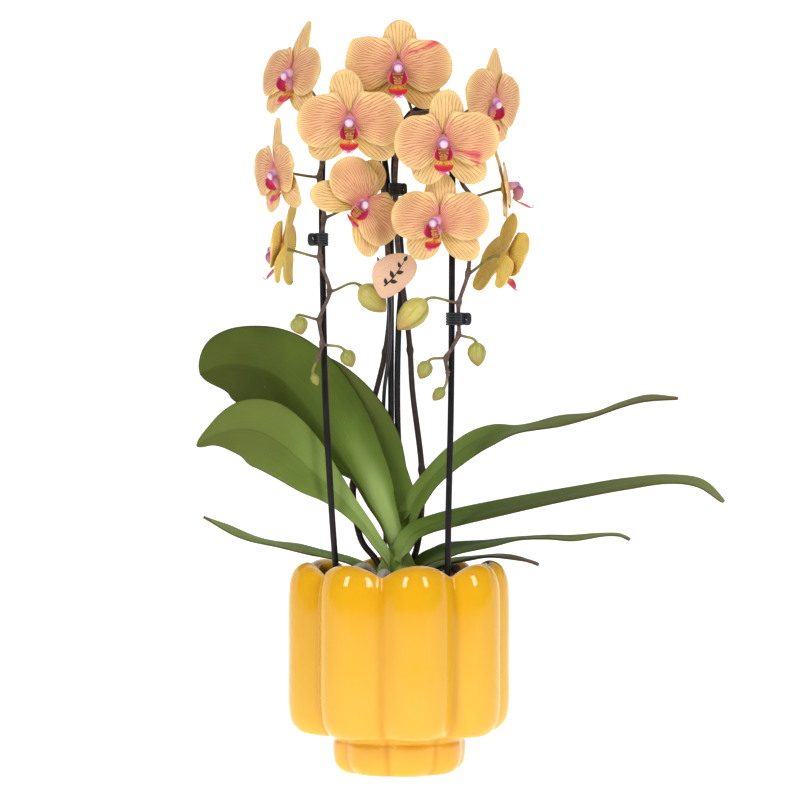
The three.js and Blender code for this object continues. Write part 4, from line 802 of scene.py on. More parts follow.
# Where the tepals meet, the way the face looks, with yaw 0 to the front, and half the width. Turns
# and lengths go in the order top sepal, right and left lower sepals, right and left petals. LipTurn
# and lipNod turn the lip in its bloom, and lipShift moves it, as the face is seen edge on. Narrow
# and point slim and sharpen the top sepal, and corner squares off the left petal's tip.
blooms = {
    "bloom_01": {"at": [-56.5, -19, 366.8], "yaw": -53, "pitch": 14, "roll": 3, "size": 27,
                 "lipTurn": 6, "lipNod": -24, "lipShift": [2.2, 0, 0.2],
                 "narrow": 0.8, "point": 1.6, "lengths": [1.14, 0.96, 0.96, 0.95, 0.98]},
    "bloom_02": {"at": [-1, -42, 368.3], "yaw": 2, "pitch": -8, "roll": 0, "size": 28,
                 "turns": [85, -43, -131, 3, 172], "lengths": [0.88, 0.99, 0.84, 1.01, 0.97],
                 "corner": 0.13},
    "bloom_03": {"at": [-25.4, -52, 339.5], "yaw": -3, "pitch": -10, "roll": 0, "size": 28,
                 "turns": [97, -39, -139, 3, 181], "lengths": [0.97, 1, 0.96, 0.98, 0.98]},
    "bloom_04": {"at": [22.5, -62, 327.9], "yaw": 0, "pitch": -10, "roll": 0, "size": 28,
                 "turns": [85, -43, -122, 8, 180], "lengths": [0.97, 1, 0.85, 1.02, 0.9]},
    "bloom_05": {"at": [20.8, -50, 288.3], "yaw": -10, "pitch": -10, "roll": 0, "size": 26, "lipTurn": -18,
                 "turns": [89, -46, -130, 9, 168], "lengths": [0.98, 1.01, 0.93, 0.99, 0.98]},
    "bloom_06": {"at": [-19.9, -40, 298.8], "yaw": 26, "pitch": -6, "roll": 40, "size": 26,
                 "turns": [106, -33, -150, -3, 161], "lengths": [0.92, 1.12, 1.08, 1.02, 0.98],
                 "lipShift": [-1.4, 0, -1]},
    "bloom_07": {"at": [-63.7, -30, 315], "yaw": -62, "pitch": -4, "roll": -2, "size": 26,
                 "lipTurn": 4, "lipNod": -16, "lipShift": [3, 0, 0.4],
                 "narrow": 0.75, "point": 1.5, "lengths": [1.1, 1, 1, 0.76, 1]},
    "bloom_08": {"at": [-60.8, -25, 275.6], "yaw": -102, "pitch": 8, "roll": 0, "size": 25, "lipTurn": 6,
                 "lipNod": -22},
    "bloom_09": {"at": [49, -28, 352.4], "yaw": 56, "pitch": -6, "roll": 3, "size": 27,
                 "lipTurn": -8, "lipNod": -14, "lipShift": [-3.2, 0, 0],
                 "narrow": 0.85, "point": 1.6, "lengths": [1.03, 0.96, 0.96, 0.92, 1.0]},
    "bloom_10": {"at": [55.5, -22, 307.4], "yaw": 88, "pitch": 9, "roll": 0, "size": 23.5,
                 "lengths": [0.96, 0.84, 0.84, 0.98, 0.98]},
    "bloom_11": {"at": [53.8, -32, 270.5], "yaw": 116, "pitch": -20, "roll": 0, "size": 25},
}
usualTurns = [90, -42, -138, 5, 175]
usualLengths = [0.96, 0.96, 0.96, 1, 1]
# widths are shares of half a bloom; layer is how far out of the face the tepal stands, in mm, bend
# how far its tip falls back, and lift how far its rib swings aside, with a shoulder on that side
usualTepal = {"lift": 0, "corner": 0, "point": 2.1}
sepal = {**usualTepal, "width": 0.32, "widest": 0.56, "base": 0.35, "rise": 1.5, "layer": -1.3,
         "bend": -0.05, "skin": 1}
petal = {**usualTepal, "width": 0.49, "widest": 0.54, "base": 0.24, "rise": 1.7, "layer": 1.2,
         "bend": -0.04, "skin": 0}
tepalShapes = [sepal, sepal, sepal, {**petal, "lift": 0.02}, {**petal, "lift": -0.02}]
tepalBuild = {"thickness": 0.8, "rows": 40, "columns": 25, "hub": 5.0, "hubDepth": 2.6, "gap": 0.3}


def bloomFrame(bloom):
    # three unit vectors: the bloom's own right, its up, and out of its face
    yaw, pitch = np.radians([bloom["yaw"], bloom["pitch"]])
    face = np.array([np.sin(yaw) * np.cos(pitch), -np.cos(yaw) * np.cos(pitch), np.sin(pitch)])
    right = np.array([np.cos(yaw), np.sin(yaw), 0])
    return rotation(2, bloom["roll"]) @ [right, np.cross(face, right), face]


def halfWidth(u, shape):
    # narrow at the base, widest at the share widest, then rounded to the tip
    width, widest = shape["width"], shape["widest"]
    rising = shape["base"] + (1 - shape["base"]) * (1 - (np.maximum(widest - u, 0) / widest) ** shape["rise"])
    closing = np.sqrt(np.maximum(0, 1 - (np.maximum(u - widest, 0) / (1 - widest)) ** shape["point"]))
    return width * np.where(u < widest, rising, closing)


def tepalSurface(shape, size, angle, length, phase):
    # A straight rib with arch sin(pi u), falling back as u^2, with a narrow crease along it. The
    # edges roll back as v^2 and ripple slowly, more towards the margin.
    angle = np.radians(angle)
    rib = np.array([np.cos(angle), np.sin(angle), 0])
    side = np.array([-np.sin(angle), np.cos(angle), 0])

    def surface(u, v):
        arch = 0.035 * np.sin(np.pi * u) - 0.035 * v ** 2 * np.sin(np.pi * np.minimum(u, 0.9))
        crease = -0.014 * np.exp(-(v / 0.1) ** 2) * smoothRise(0.1, 0.4, u) * smoothRise(1.0, 0.7, u)
        ripple = 0.016 * v ** 2 * np.sin(8 * u + phase + 1.4 * v) + 0.008 * np.sin(5 * v + 4 * u + phase)
        relief = arch + crease + ripple * smoothRise(0.05, 0.35, u) + shape["bend"] * u * u
        depth = shape["layer"] + size * relief
        wavy = 1 + 0.03 * np.sin(6 * u + phase + v)
        upper = np.maximum(v * np.sign(shape["lift"]), 0) * np.exp(-((u - 0.22) / 0.16) ** 2)
        corner = shape["corner"] * np.maximum(-v, 0) * np.exp(-((u - 0.97) / 0.13) ** 2)
        reach = size * (v * (halfWidth(u, shape) * wavy + 0.18 * upper + corner)
                        + shape["lift"] * np.sin(np.pi * u))
        return ((size * length * u)[..., None] * rib + reach[..., None] * side
                + depth[..., None] * np.array([0, 0, 1.0]))
    return surface


def placeIn(item, frameRows, at):
    # moves a patch from its own frame to the plant's; the rows are its own axes
    item["rings"] = item["rings"] @ frameRows + np.array(at)
    return item


# Crimson streaks along a petal's veins: the tepal, the streak's angle from the rib and its width in
# degrees, and the distances from the fan's centre, in bloom sizes, where it begins and is widest.
streaks = {"bloom_02": [(3, 27, 4.4, 0.5, 1.02), (3, 28, 1.5, 0.14, 0.55)],
           "bloom_04": [(3, -24, 5.5, 0.3, 0.8), (3, -33, 2, 0.6, 0.85)]}


def flameOver(flames, length, shape):
    # each streak is a bell across its angle, widening as it runs out and fading past its widest
    def flame(u, v):
        x, y = u * length + tepalLooks["petalFlesh"]["behind"], v * halfWidth(u, shape)
        angle, away = np.degrees(np.arctan2(y, x)), np.hypot(x, y)
        total = 0 * u
        for _, middle, width, begin, widest in flames:
            grown = width * (0.15 + 0.85 * smoothRise(begin, widest, away))
            total = total + (np.exp(-((angle - middle) / grown) ** 2) * smoothRise(begin, begin + 0.08, away)
                             * smoothRise(widest + 0.12, widest, away))
        return np.minimum(total, 1) * 0.95
    return flame


def bloomTepals(name, bloom):
    # five blades round a hub, each with its ripple shifted by a random phase
    size, build = bloom["size"], tepalBuild
    turns, lengths = bloom.get("turns", usualTurns), bloom.get("lengths", usualLengths)
    phases = np.random.default_rng(int(name[-2:])).uniform(0, turn, 5)
    slim = {"width": sepal["width"] * bloom.get("narrow", 1),
            "point": bloom.get("point", usualTepal["point"])}
    own = [slim, {}, {}, {}, {"corner": bloom.get("corner", 0)}]
    sheets = []
    for i, usual in enumerate(tepalShapes):
        shape = {**usual, **own[i]}
        flames = [item for item in streaks.get(name, []) if item[0] == i]
        ripeness = 0.85 if i in (1, 2) else 0.0
        sheet = blade(tepalSurface(shape, size, turns[i], lengths[i], phases[i]), build["thickness"],
                      build["rows"], build["columns"], start=0.05, skin=shape["skin"], edge=0.4,
                      margin=lambda u, v: np.maximum(np.abs(v) ** 1.5, smoothRise(0.6, 1.0, u)),
                      heart=lambda u, v: 0.8 * smoothRise(0.27, 0.06, u),
                      streak=flameOver(flames, lengths[i], shape),
                      olive=lambda u, v: ripeness * smoothRise(0.8, 0.2, u))
        u, v = sheet["uv"][..., 0], sheet["uv"][..., 1]
        sheet["uv"] = np.stack([u * lengths[i], v * halfWidth(u, shape)], -1)
        sheets.append(sheet)
    around = np.linspace(-np.pi / 2, np.pi / 2, 14)
    hubPath = np.stack([0 * around, 0 * around, build["hubDepth"] * np.sin(around)], -1)
    hub = ringsAlong(hubPath, np.maximum(build["hub"] * np.cos(around), 0.02), 24)
    front = smoothRise(-0.2, 0.2, around)[:, None]
    sheets.append(patch(hub, np.zeros((14, 25, 2)), heart=0.8 * front, under=1 - front))
    return [placeIn(sheet, bloomFrame(bloom), bloom["at"]) for sheet in sheets]


# the thickness and grid of the blades, the radii of cap and collar and how far the lip stands back
# towards the hub, all in mm on a bloom of the usual size
lipBuild = {"usualSize": 28, "thickness": 0.7, "rows": 26, "columns": 15, "cap": 2.25, "collar": 2.95,
            "back": 2.9}


def ballAlong(path, radius, sides, uvScale=1.0, skin=0):
    # an egg on the path, which runs from pole to pole as a sine; its radius is the cosine
    ends = np.linspace(-np.pi / 2, np.pi / 2, 16)
    item = patch(ringsAlong(path(ends), np.maximum(radius * np.cos(ends), 0.02), sides), None, skin)
    item["uv"] = item["uv"] * uvScale
    return item


def bloomLip(bloom):
    # All in the bloom's frame: x right, y up, z out of the face. Column: a tube that leans forward
    # and ends in a collar round its cap. Side lobes: two cupped blades that rise forward beside the
    # throat. Middle lobe: a narrow neck going down, then a shield that runs forward to a tip with
    # two tendrils. Two warts sit in the throat.
    s = bloom["size"] / lipBuild["usualSize"]
    rows, columns, thickness = lipBuild["rows"], lipBuild["columns"], lipBuild["thickness"] * s
    deep = np.array([0, 0, tepalBuild["hubDepth"] + tepalBuild["gap"] - lipBuild["back"]])

    def laid(x, y, z):
        # a point of the usual lip, at this bloom's size
        return s * np.stack([x, y, z], -1) + deep

    share = np.linspace(0, 1, 26)
    route = np.array([[0, 0.9, 2.6], [0, 1.0, 4.0], [0, 0.7, 6.0], [0, 0.2, 8.6]]) * s + deep
    girth = lipBuild["collar"] * (0.86 + 0.14 * share) * np.sqrt(1.0 - 0.45 * smoothRise(0.85, 1.0, share))
    column = tube(evenPath(route, len(share)), girth * s, 24, skin=2)
    cap = ballAlong(lambda ends: laid(0 * ends, 0.1 - 0.2 * np.sin(ends), 8.2 + 1.7 * np.sin(ends)),
                    lipBuild["cap"] * s, 24, skin=3)

    def middleSurface(u, v):
        flare = 1.35 + 3.6 * smoothRise(0.24, 0.42, u)
        half = flare * np.sqrt(1.003 - np.clip((u - 0.42) / 0.58, 0, 1) ** 2)
        sides = 0.7 * v * v * smoothRise(0.3, 0.5, u) - 0.3 * np.exp(-(v / 0.16) ** 2)
        return laid(v * half, -7.4 - 9.3 * u + 2.6 * u * u + sides, 4.3 + 9.0 * u)

    def throatSurface(u, v):
        return laid(v * (3.1 - 1.3 * u), -2.0 - 6.2 * u, 4.2 + 1.4 * u + 0.9 * v * v + 0.4 * np.sin(20 * u))
    items = [column, cap, blade(middleSurface, thickness, rows + 10, columns, crowding=0.3, skin=1, edge=0.5),
             blade(throatSurface, 0.6 * s, 24, 11, crowding=0.1, skin=4, edge=0.6)]

    for side in (1, -1):
        def lobeSurface(u, v):
            v = side * v
            rib = splineThrough([[1.2, -7.7, 4.2], [2.9, -6.8, 5.6], [4.4, -4.8, 7.4], [4.7, -2.5, 8.9],
                                 [3.9, -0.9, 9.8]], u)
            closing = np.sqrt(1 - 0.97 * np.clip((u - 0.55) / 0.45, 0, 1) ** 2)
            half = 2.9 * (0.5 + 0.5 * smoothRise(0, 0.5, u)) * closing
            x = side * (rib[..., 0] - 0.28 * v * half - 0.7 * v * v * smoothRise(0, 0.4, u))
            return laid(x, rib[..., 1] + 0.72 * half * v, rib[..., 2] - 0.69 * half * v)
        items.append(blade(lobeSurface, thickness, rows, columns, edge=0.5))
        route = np.array([[0.25, -14.0, 13.0], [0.9, -14.5, 14.2], [1.9, -14.3, 15.2], [2.5, -13.3, 15.4],
                          [2.2, -12.6, 14.8]]) * [side, 1, 1] * s + deep
        tendril = tube(evenPath(route, 30), s * (0.3 - 0.18 * np.linspace(0, 1, 30)), 8, skin=1)
        tendril["uv"][:] = 1.0, 0.9  # all of it takes the colour of the shield's tip
        items.append(tendril)
        items.append(ballAlong(lambda ends: laid(side * 0.85 + 0 * ends, -5.2 - 0.3 * np.sin(ends),
                                                 5.8 + 1.2 * np.sin(ends)), 0.9 * s, 14, 0.1, skin=4))
    swung = rotation(0, bloom.get("lipNod", 0)) @ rotation(1, -bloom.get("lipTurn", 0))
    at = np.array(bloom["at"]) + bloom.get("lipShift", 0)
    return [placeIn(item, swung @ bloomFrame(bloom), at) for item in items]


lipSkins = [lobeCrimson, shieldRed, columnViolet, capPearl, callusYellow]  # in the order of skin
for bloomName, bloom in blooms.items():
    makePiece(bloomName + "_tepals", bloomTepals(bloomName, bloom), [petalPeach, sepalYellow],
              bloomName)
    makePiece(bloomName + "_lipParts", bloomLip(bloom), lipSkins, bloomName + "_lip")
print("blooms opened:", len(blooms))


buds = {
    "bud_left_1": {"from": [-20.6, -17, 256.6], "to": [-7.2, -19, 243], "radius": 6.9, "ripe": 1.0},
    "bud_left_2": {"from": [-53.3, -36, 239.9], "to": [-50.6, -37, 230.6], "radius": 4.8, "ripe": 0.3},
    "bud_left_3": {"from": [-28.6, -36, 222.6], "to": [-24.3, -37, 213.8], "radius": 4.2, "ripe": 0.2},
    "bud_left_4": {"from": [-44.9, -36, 210.3], "to": [-42.6, -37, 204.2], "radius": 2.3, "ripe": 0.1},
    "bud_right_1": {"from": [13.8, -31, 248.8], "to": [-0.9, -33, 233.3], "radius": 7.3, "ripe": 1.0},
    "bud_right_2": {"from": [39.6, -38, 226.8], "to": [40.7, -39, 214], "radius": 5, "ripe": 0.5},
    "bud_right_3": {"from": [15.1, -38, 216.9], "to": [10.6, -39, 207.6], "radius": 4.2, "ripe": 0.3},
    "bud_right_4": {"from": [23.1, -38, 202.9], "to": [17.3, -39, 196.5], "radius": 3.2, "ripe": 0.1},
}
# share of the length and of the radius
budGirth = [[0.0, 0.1], [0.04, 0.42], [0.2, 0.85], [0.45, 1.0], [0.72, 0.78], [0.93, 0.32], [1.0, 0.03]]


def budSurface(shape):
    # a round profile along the axis, pinched by three seams where the sepals meet: the radius
    # falls by about a twelfth within a few degrees of each seam
    start, end = np.array(shape["from"], float), np.array(shape["to"], float)
    share = np.linspace(0, 1, 44)
    girth = np.interp(share, *np.array(budGirth).T)
    for _ in range(6):
        girth[1:-1] = (girth[:-2] + 2 * girth[1:-1] + girth[2:]) / 4
    angle = np.linspace(0, turn, 48, endpoint=False)
    seam = np.exp(-(np.sin(1.5 * angle + 0.4) / 0.14) ** 2)
    rings = ringsAlong(start + (end - start) * share[:, None],
                       shape["radius"] * girth[:, None] * (1 - 0.085 * seam), len(angle))
    # the seam mark is also painted shade along the pinched seams
    return patch(rings, seam=0.85 * seam[None], ripe=shape["ripe"])


for budName, budShape in buds.items():
    makePiece(budName + "_skin", [budSurface(budShape)], [budGreen], budName)
print("buds set:", len(buds))


spikes = {
    "spike_left": {
        "route": [[-7.5, 8, 103], [-13, 12.5, 112], [-20.5, 16, 122], [-24.8, 18.4, 151.3], [-19, 20, 177],
                  [-13, 17, 199.4], [-7.6, 9, 222.3], [-5.2, 0.6, 244.5], [-6.4, -4.5, 276.1],
                  [-9, -10.5, 310], [-14.4, -18.5, 337], [-19, -24, 345], [-25.5, -28.8, 348.5],
                  [-31.5, -33, 346], [-35.6, -34, 339.5], [-38, -33.6, 326], [-41.6, -33.4, 312.6],
                  [-39.2, -33.4, 292.8], [-41.4, -33.4, 270.5], [-36.4, -33.4, 253.3],
                  [-41.6, -33.4, 238.3], [-40.3, -33.4, 226], [-42.6, -33.8, 217.5]],
        "knots": [[-7.6, 9, 222.3], [-24.8, 18.4, 151.3]],
        "stalks": {"bloom_01": [-34.8, -33.7, 341.5], "bloom_03": [-25.5, -28.5, 349],
                   "bloom_07": [-41.6, -33.4, 312.6], "bloom_06": [-39.4, -33.4, 291],
                   "bloom_08": [-41.4, -33.4, 270.5], "bud_left_1": [-36.4, -33.4, 253.3],
                   "bud_left_2": [-41.6, -33.4, 238.3], "bud_left_3": [-40.3, -33.4, 226],
                   "bud_left_4": [-42.2, -33.8, 218.5]}},
    "spike_right": {
        "route": [[5, 8, 107.5], [8.8, 12.3, 116], [11.4, 15.2, 132.8], [11.9, 17.2, 159.3], [6.9, 14.5, 202],
                  [5.6, 9, 223.3], [3.4, 0.5, 244.6], [-0.6, -7.9, 274], [-2.4, -12.6, 302.5],
                  [-1, -17.3, 328.5], [1.6, -20.5, 338], [5, -24.2, 344.2], [11.7, -28.6, 346.3],
                  [19, -33, 345], [24.7, -36, 339], [28.8, -37, 329.5], [32.4, -37, 309.3],
                  [37.1, -37, 301.9], [36.6, -37, 284.8], [35.5, -37, 262.5], [30.8, -36.6, 247],
                  [30.6, -36.4, 238.7], [30.6, -36.4, 230.4], [26.9, -36.4, 223.2], [24.1, -36.4, 218.5],
                  [25.2, -36.4, 209.2]],
        "knots": [[5.6, 9, 223.3], [11.9, 17.2, 159.3]],
        "stalks": {"bloom_02": [8, -26, 345.6], "bloom_09": [24, -35.6, 340], "bloom_04": [28.8, -37, 329.5],
                   "bloom_10": [37.1, -37, 301.9], "bloom_05": [36.6, -37, 284.8],
                   "bloom_11": [35.5, -37, 262.5], "bud_right_1": [30.8, -36.6, 247],
                   "bud_right_2": [30.6, -36.4, 230.4], "bud_right_3": [24.1, -36.4, 218.5],
                   "bud_right_4": [25.2, -36.4, 210.4]}},
}
# radii of the stem's foot and tip and of a stalk, how far a joint swells, and a bract's length
spikeBuild = {"foot": 1.75, "tip": 0.95, "steps": 420, "stalk": 0.72, "knot": 0.55, "bract": 3.2}


def bract(at, along, outward, size):
    # a small scale leaf pressed on the stem: half a cone that narrows to a point
    share = np.linspace(0, 1, 12)
    path = at + along * (share[:, None] - 0.25) * size + outward * (0.25 + 0.5 * share[:, None] ** 2)
    width = 1.5 * np.sqrt(np.maximum(1 - share ** 1.5, 0.002))
    return patch(ringsAlong(path, width, 12, flat=0.45), green=0.25)


def spikeParts(shape):
    # A round stem that thins evenly and swells at each joint by exp(-d^2); stalks leave it with a
    # flared foot, sag a little and meet their bloom or bud from behind.
    path = evenPath(shape["route"], spikeBuild["steps"])
    share = np.linspace(0, 1, len(path))
    joints = [*shape["knots"], *shape["stalks"].values()]
    swell = sum(np.exp(-(np.linalg.norm(path - joint, axis=1) / 1.9) ** 2) for joint in np.array(joints))
    girth = spikeBuild["foot"] + (spikeBuild["tip"] - spikeBuild["foot"]) * share + spikeBuild["knot"] * swell
    girth[-5:] *= np.linspace(1, 0.3, 5)
    along, share = unit(np.gradient(path, axis=0)), share[:, None]
    parts = [tube(path, girth, 18, green=0.1 * share, aged=0.85 * smoothRise(0.5, 0.3, share))]
    for name, start in shape["stalks"].items():
        near = np.argmin(np.linalg.norm(path - start, axis=1))
        start = path[near]
        if name in blooms:
            inward = bloomFrame(blooms[name])[2]
            end = np.array(blooms[name]["at"]) - inward * tepalBuild["hubDepth"]
        else:
            end = np.array(buds[name]["from"], float)
            inward = unit(np.array(buds[name]["to"]) - end)
        span = np.linalg.norm(end - start)
        leaving = start + [0.35, 0.08, 0.35] * (end - start) - [0, 0, 0.05 * span]
        stalk = bezierPath(start, leaving, end - 0.3 * span * inward, end + 0.6 * inward, 50)
        t = np.linspace(0, 1, len(stalk))
        flare = 0.7 * np.exp(-(t / 0.1) ** 2) + 0.6 * np.exp(-((t - 1) / 0.08) ** 2)
        radius = spikeBuild["stalk"] * (1 + flare)
        parts.append(tube(stalk, radius, 12, green=(0.15 + 0.8 * smoothRise(0.1, 0.5, t))[:, None]))
        outward = unit(leaving - start)
        parts.append(bract(start - 0.6 * along[near], along[near], -outward, spikeBuild["bract"] * 0.6))
    for knot in shape["knots"]:
        near = np.argmin(np.linalg.norm(path - knot, axis=1))
        parts.append(bract(path[near], along[near], np.array([0, -1.0, 0]), spikeBuild["bract"] * 1.6))
    return parts


for spikeName, spikeShape in spikes.items():
    makePiece(spikeName + "_stem", spikeParts(spikeShape), [stemBrown], spikeName)
print("spikes grown")


clips = {
    "clip_left": {"at": [-43.1, -31.4, 280.2], "yaw": 0, "reach": 5, "pad": 3.6},
    "clip_right": {"at": [32.9, -34.2, 238.8], "yaw": 180, "reach": 7.8, "pad": 3.4},
    "clip_inner": {"at": [0.4, -11.1, 307.5], "yaw": 180, "reach": 5, "pad": 2.6},
}
# the jaws' height, the heights of their fingers and the radius of a finger
clipBuild = {"height": 6.6, "levels": (-2.7, -1.35, 0, 1.35, 2.7), "finger": 0.56}


def roundedPlate(size, place, lean=0.0, power=5.0):
    # a plate whose outline is the superellipse |x|^p + |z|^p = 1, with rounded rims, turned by lean
    angle = np.linspace(0, turn, 48, endpoint=False)
    shape = lambda trig: np.sign(trig) * np.abs(trig) ** (2 / power)
    depth = np.array([-1, -0.96, -0.7, 0, 0.7, 0.96, 1])
    grow = np.array([0.02, 0.8, 0.97, 1, 0.97, 0.8, 0.02])
    x = 0.5 * size[0] * grow[:, None] * shape(np.cos(angle))
    z = 0.5 * size[2] * grow[:, None] * shape(np.sin(angle))
    y = 0.5 * size[1] * np.broadcast_to(depth[:, None], x.shape)
    return patch(np.stack([x, -y, z], -1) @ rotation(2, lean).T + place)


def clawFinger(side, level, reach):
    # a flat bar that runs out beside the stems and hooks in at its end
    route = np.array([[-0.6, 1.2, 0], [0.2, 4.4, 0], [1.6, 4.9, 0], [reach - 0.6, 4.9, 0],
                      [reach + 0.5, 4.4, 0], [reach + 0.6, 2.9, 0]]) * [1, side, 1] + [0, 0, level]
    path = evenPath(route, 40)
    return patch(ringsAlong(path, clipBuild["finger"] * np.sqrt(1.02 - np.linspace(-1, 1, 40) ** 10), 12))


def clipJaws(clip):
    # a block, and on both sides a finger pad behind, a short jaw in front and five bent fingers
    height, pad = clipBuild["height"], clip["pad"]
    jaws = [roundedPlate([2.4, 3.6, height * 0.86], [0, 0, 0])]
    for side in (-1, 1):
        jaws.append(roundedPlate([pad + 1.4, 1.4, height], [-pad / 2 - 0.4, side * 1.9, 0], -side * 8, 3.2))
        jaws.append(roundedPlate([2.2, 1.3, height * 0.92], [1.5, side * 4.6, 0], 0, 4))
        jaws += [clawFinger(side, level, clip["reach"]) for level in clipBuild["levels"]]
    return jaws


spring = {"turns": 5, "radius": 0.6, "length": 5.2, "behind": -2.15, "wire": 0.28}
coilAngle = np.linspace(0, spring["turns"] * turn, 160)
coil = np.stack([spring["behind"] + spring["radius"] * np.cos(coilAngle),
                 spring["length"] * np.linspace(-0.5, 0.5, 160), spring["radius"] * np.sin(coilAngle)], -1)
for clipName, clip in clips.items():
    rows = rotation(2, -clip["yaw"])
    makePiece(clipName + "_jaws", [placeIn(item, rows, clip["at"]) for item in clipJaws(clip)], [clipBlack],
              clipName)
    makePiece(clipName + "_coil", [placeIn(tube(coil, spring["wire"], 8), rows, clip["at"])], [springGrey],
              clipName + "_spring")
print("clips fitted")


tag = {"y": -30.0, "thickness": 0.8, "outline": [
    [0.3, 273.2], [5.6, 271.9], [9, 267.6], [8.2, 262], [3.9, 256.6], [-3, 251.2], [-8.9, 249.8],
    [-12.6, 254.5], [-14.4, 262], [-12.6, 267.8], [-7, 271.8]]}
# the sprig's stem, its height over the card, and the place, bend and length of each leaf
sprig = {"stem": [[-8, 256], [-4.5, 259], [-1, 263.5], [2.4, 268.8]], "print": 0.04,
         "leaves": [(0.12, 62, 3.6), (0.3, -48, 4.2), (0.46, 58, 4.2), (0.64, -44, 4.0), (0.8, 50, 3.4),
                    (1.0, 4, 3.6)]}


def cardPatch():
    # the outline spline, shrunk towards its middle in rings, once for each face; three stations are
    # repeated, so that the spline closes smoothly
    loop = np.array(tag["outline"] + tag["outline"][:3], float)
    lap = np.linspace(0, len(tag["outline"]), 120, endpoint=False)
    flat = splineThrough(loop, (1 + lap) / (len(loop) - 1))
    middle = flat.mean(axis=0)
    grow = np.array([0.02, 0.5, 0.985, 1, 1, 0.985, 0.5, 0.02])
    depth = 0.5 * tag["thickness"] * np.array([-1, -1, -1, -0.6, 0.6, 1, 1, 1])
    ring = middle + (flat - middle) * grow[:, None, None]
    y = np.broadcast_to(tag["y"] + depth[:, None], ring.shape[:2])
    return patch(np.stack([ring[..., 0], y, ring[..., 1]], -1))


def printedShape(centreLine, widths):
    # a flat ink shape a hair in front of the card: a strip along its centre line
    along = unit(np.gradient(centreLine, axis=0))
    side = np.stack([-along[:, 1], along[:, 0]], -1) * widths[:, None]
    y = tag["y"] - tag["thickness"] / 2
    corners = [(centreLine - side, y - sprig["print"]), (centreLine + side, y - sprig["print"]),
               (centreLine + side, y + 0.1), (centreLine - side, y + 0.1)]
    rings = [np.stack([flat[:, 0], np.full(len(flat), deep), flat[:, 1]], -1) for flat, deep in corners]
    return patch(np.stack(rings, 1), skin=1)


def sprigPatches():
    # a stem and its leaves, each a lens whose width is a sine along its line
    stem = splineThrough(sprig["stem"], np.linspace(0, 1, 40))
    items = [printedShape(stem, np.linspace(0.42, 0.2, 40))]
    along = unit(np.gradient(stem, axis=0))
    for place, bend, length in sprig["leaves"]:
        i = int(place * 39)
        angle = np.arctan2(along[i, 1], along[i, 0]) + np.radians(bend)
        run = np.linspace(0, 1, 24)
        line = stem[i] + length * run[:, None] * np.array([np.cos(angle), np.sin(angle)])
        items.append(printedShape(line, np.maximum(0.26 * length * np.sin(np.pi * run ** 0.8), 0.03)))
    return items


makePiece("tagCard", [cardPatch(), *sprigPatches()], [cardPeach, inkBlack], "tag", sharp=50)
tagStick = {"radius": 1.05, "route": [
    [-7, 24, 60], [-7.6, 24, 111], [-8.4, 23, 165], [-8.6, 19.5, 188], [-8, 10, 203], [-5.4, -1, 222],
    [-4.8, -9, 238], [-5.5, -22, 252], [-8.5, -28, 262], [-11.6, -28, 271.5]]}
stickGirth = tagStick["radius"] * np.sqrt(1.02 - np.linspace(-1, 1, 120) ** 40)  # rounded at both ends
makePiece("tagStick", [tube(evenPath(tagStick["route"], 120), stickGirth, 14)], [clipBlack],
          "tag_stick")
print("tag hung")


# metres from here on; the floor glows behind the line y = glowFrom
sweep = {"width": 40.0, "front": -14.0, "wall": 3.0, "bend": 1.6, "height": 7.0, "glow": 0.7,
         "glowFrom": -0.95}


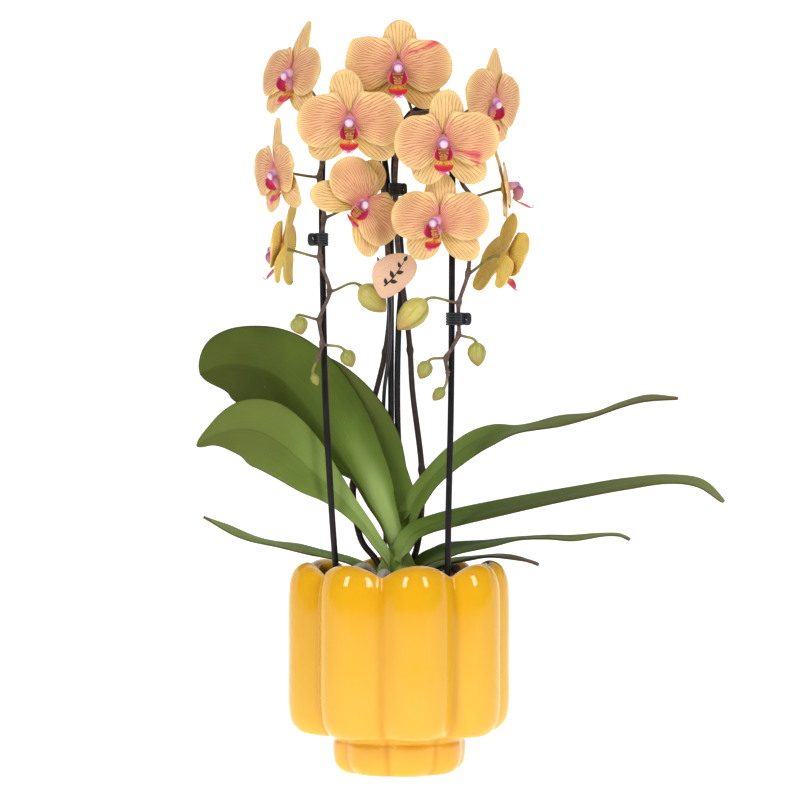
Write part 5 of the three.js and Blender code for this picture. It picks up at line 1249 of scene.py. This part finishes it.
def studioSweep():
    # a floor that turns up into a wall through a quarter circle and glows behind and below the pot
    angle = np.linspace(-np.pi / 2, 0, 24)
    wall, bend, half, edge = sweep["wall"], sweep["bend"], sweep["width"] / 2, sweep["glowFrom"]
    turnUp = np.stack([wall - bend + bend * np.cos(angle), bend + bend * np.sin(angle)], -1)
    line = [(sweep["front"], 0), *turnUp.tolist(), (wall, sweep["height"])]
    points = [(x, y, z) for y, z in line for x in (-half, half)]
    quads = [(2 * i, 2 * i + 1, 2 * i + 3, 2 * i + 2) for i in range(len(line) - 1)]
    mesh = bpy.data.meshes.new("studioSweep")
    mesh.from_pydata(points, [], quads)
    mesh.polygons.foreach_set("use_smooth", [True] * len(quads))
    paint, add = newMaterial("sweepPaint")
    depth = add("SeparateXYZ", {0: add("TexCoord", output="Object")}, output="Y")
    glow = add("MapRange", {0: depth, 1: edge - 0.1, 2: edge + 0.1, 3: 0, 4: sweep["glow"]})
    mesh.materials.append(finished(paint, "#f4f4f4", Roughness=0.9, Emission_Color="#ffffff",
                                   Emission_Strength=glow))
    return placed("studioSweep", mesh)


studioSweep()

# place, aim, size and watts
lights = {
    "windowLeft": ((-1.1, -1.5, 1.22), (0, 0, 0.22), (0.46, 1.1), 20.5),
    "windowRight": ((1.15, -1.45, 1.18), (0, 0, 0.2), (0.46, 1.1), 19),
    "skyPanel": ((0.3, -0.5, 2.2), (0, 0, 0.2), (1.6, 1.6), 1.7),
}
for lightName, (place, aim, size, power) in lights.items():
    lightData = bpy.data.lights.new(lightName, "AREA")
    lightData.shape = "RECTANGLE"
    lightData.size, lightData.size_y, lightData.energy = *size, power
    light = placed(lightName, lightData)
    light.location = place
    light.rotation_euler = (Vector(aim) - Vector(place)).to_track_quat("-Z", "Y").to_euler()

roomGlow = 0.13
world = bpy.data.worlds.new("studioWorld")
bpy.context.scene.world = world
world.use_nodes = True
setInputs(world.node_tree, world.node_tree.nodes["Background"], {"Color": "#ffffff", "Strength": roomGlow})

# far off and long, as the photo was taken; lens and sensor in mm
photoView = {"distance": 1.7, "height": 0.1967, "aside": 0.000265, "lens": 144.34, "sensor": 36,
             "farthest": 40}
cameraData = bpy.data.cameras.new("photoCamera")
cameraData.lens = photoView["lens"]
cameraData.sensor_width = photoView["sensor"]
cameraData.clip_end = photoView["farthest"]
camera = placed("photoCamera", cameraData)
camera.location = (photoView["aside"], -photoView["distance"], photoView["height"])
camera.rotation_euler = (np.pi / 2, 0, 0)
bpy.context.scene.camera = camera
bpy.context.scene.view_settings.view_transform = "Standard"
print("studio lit")
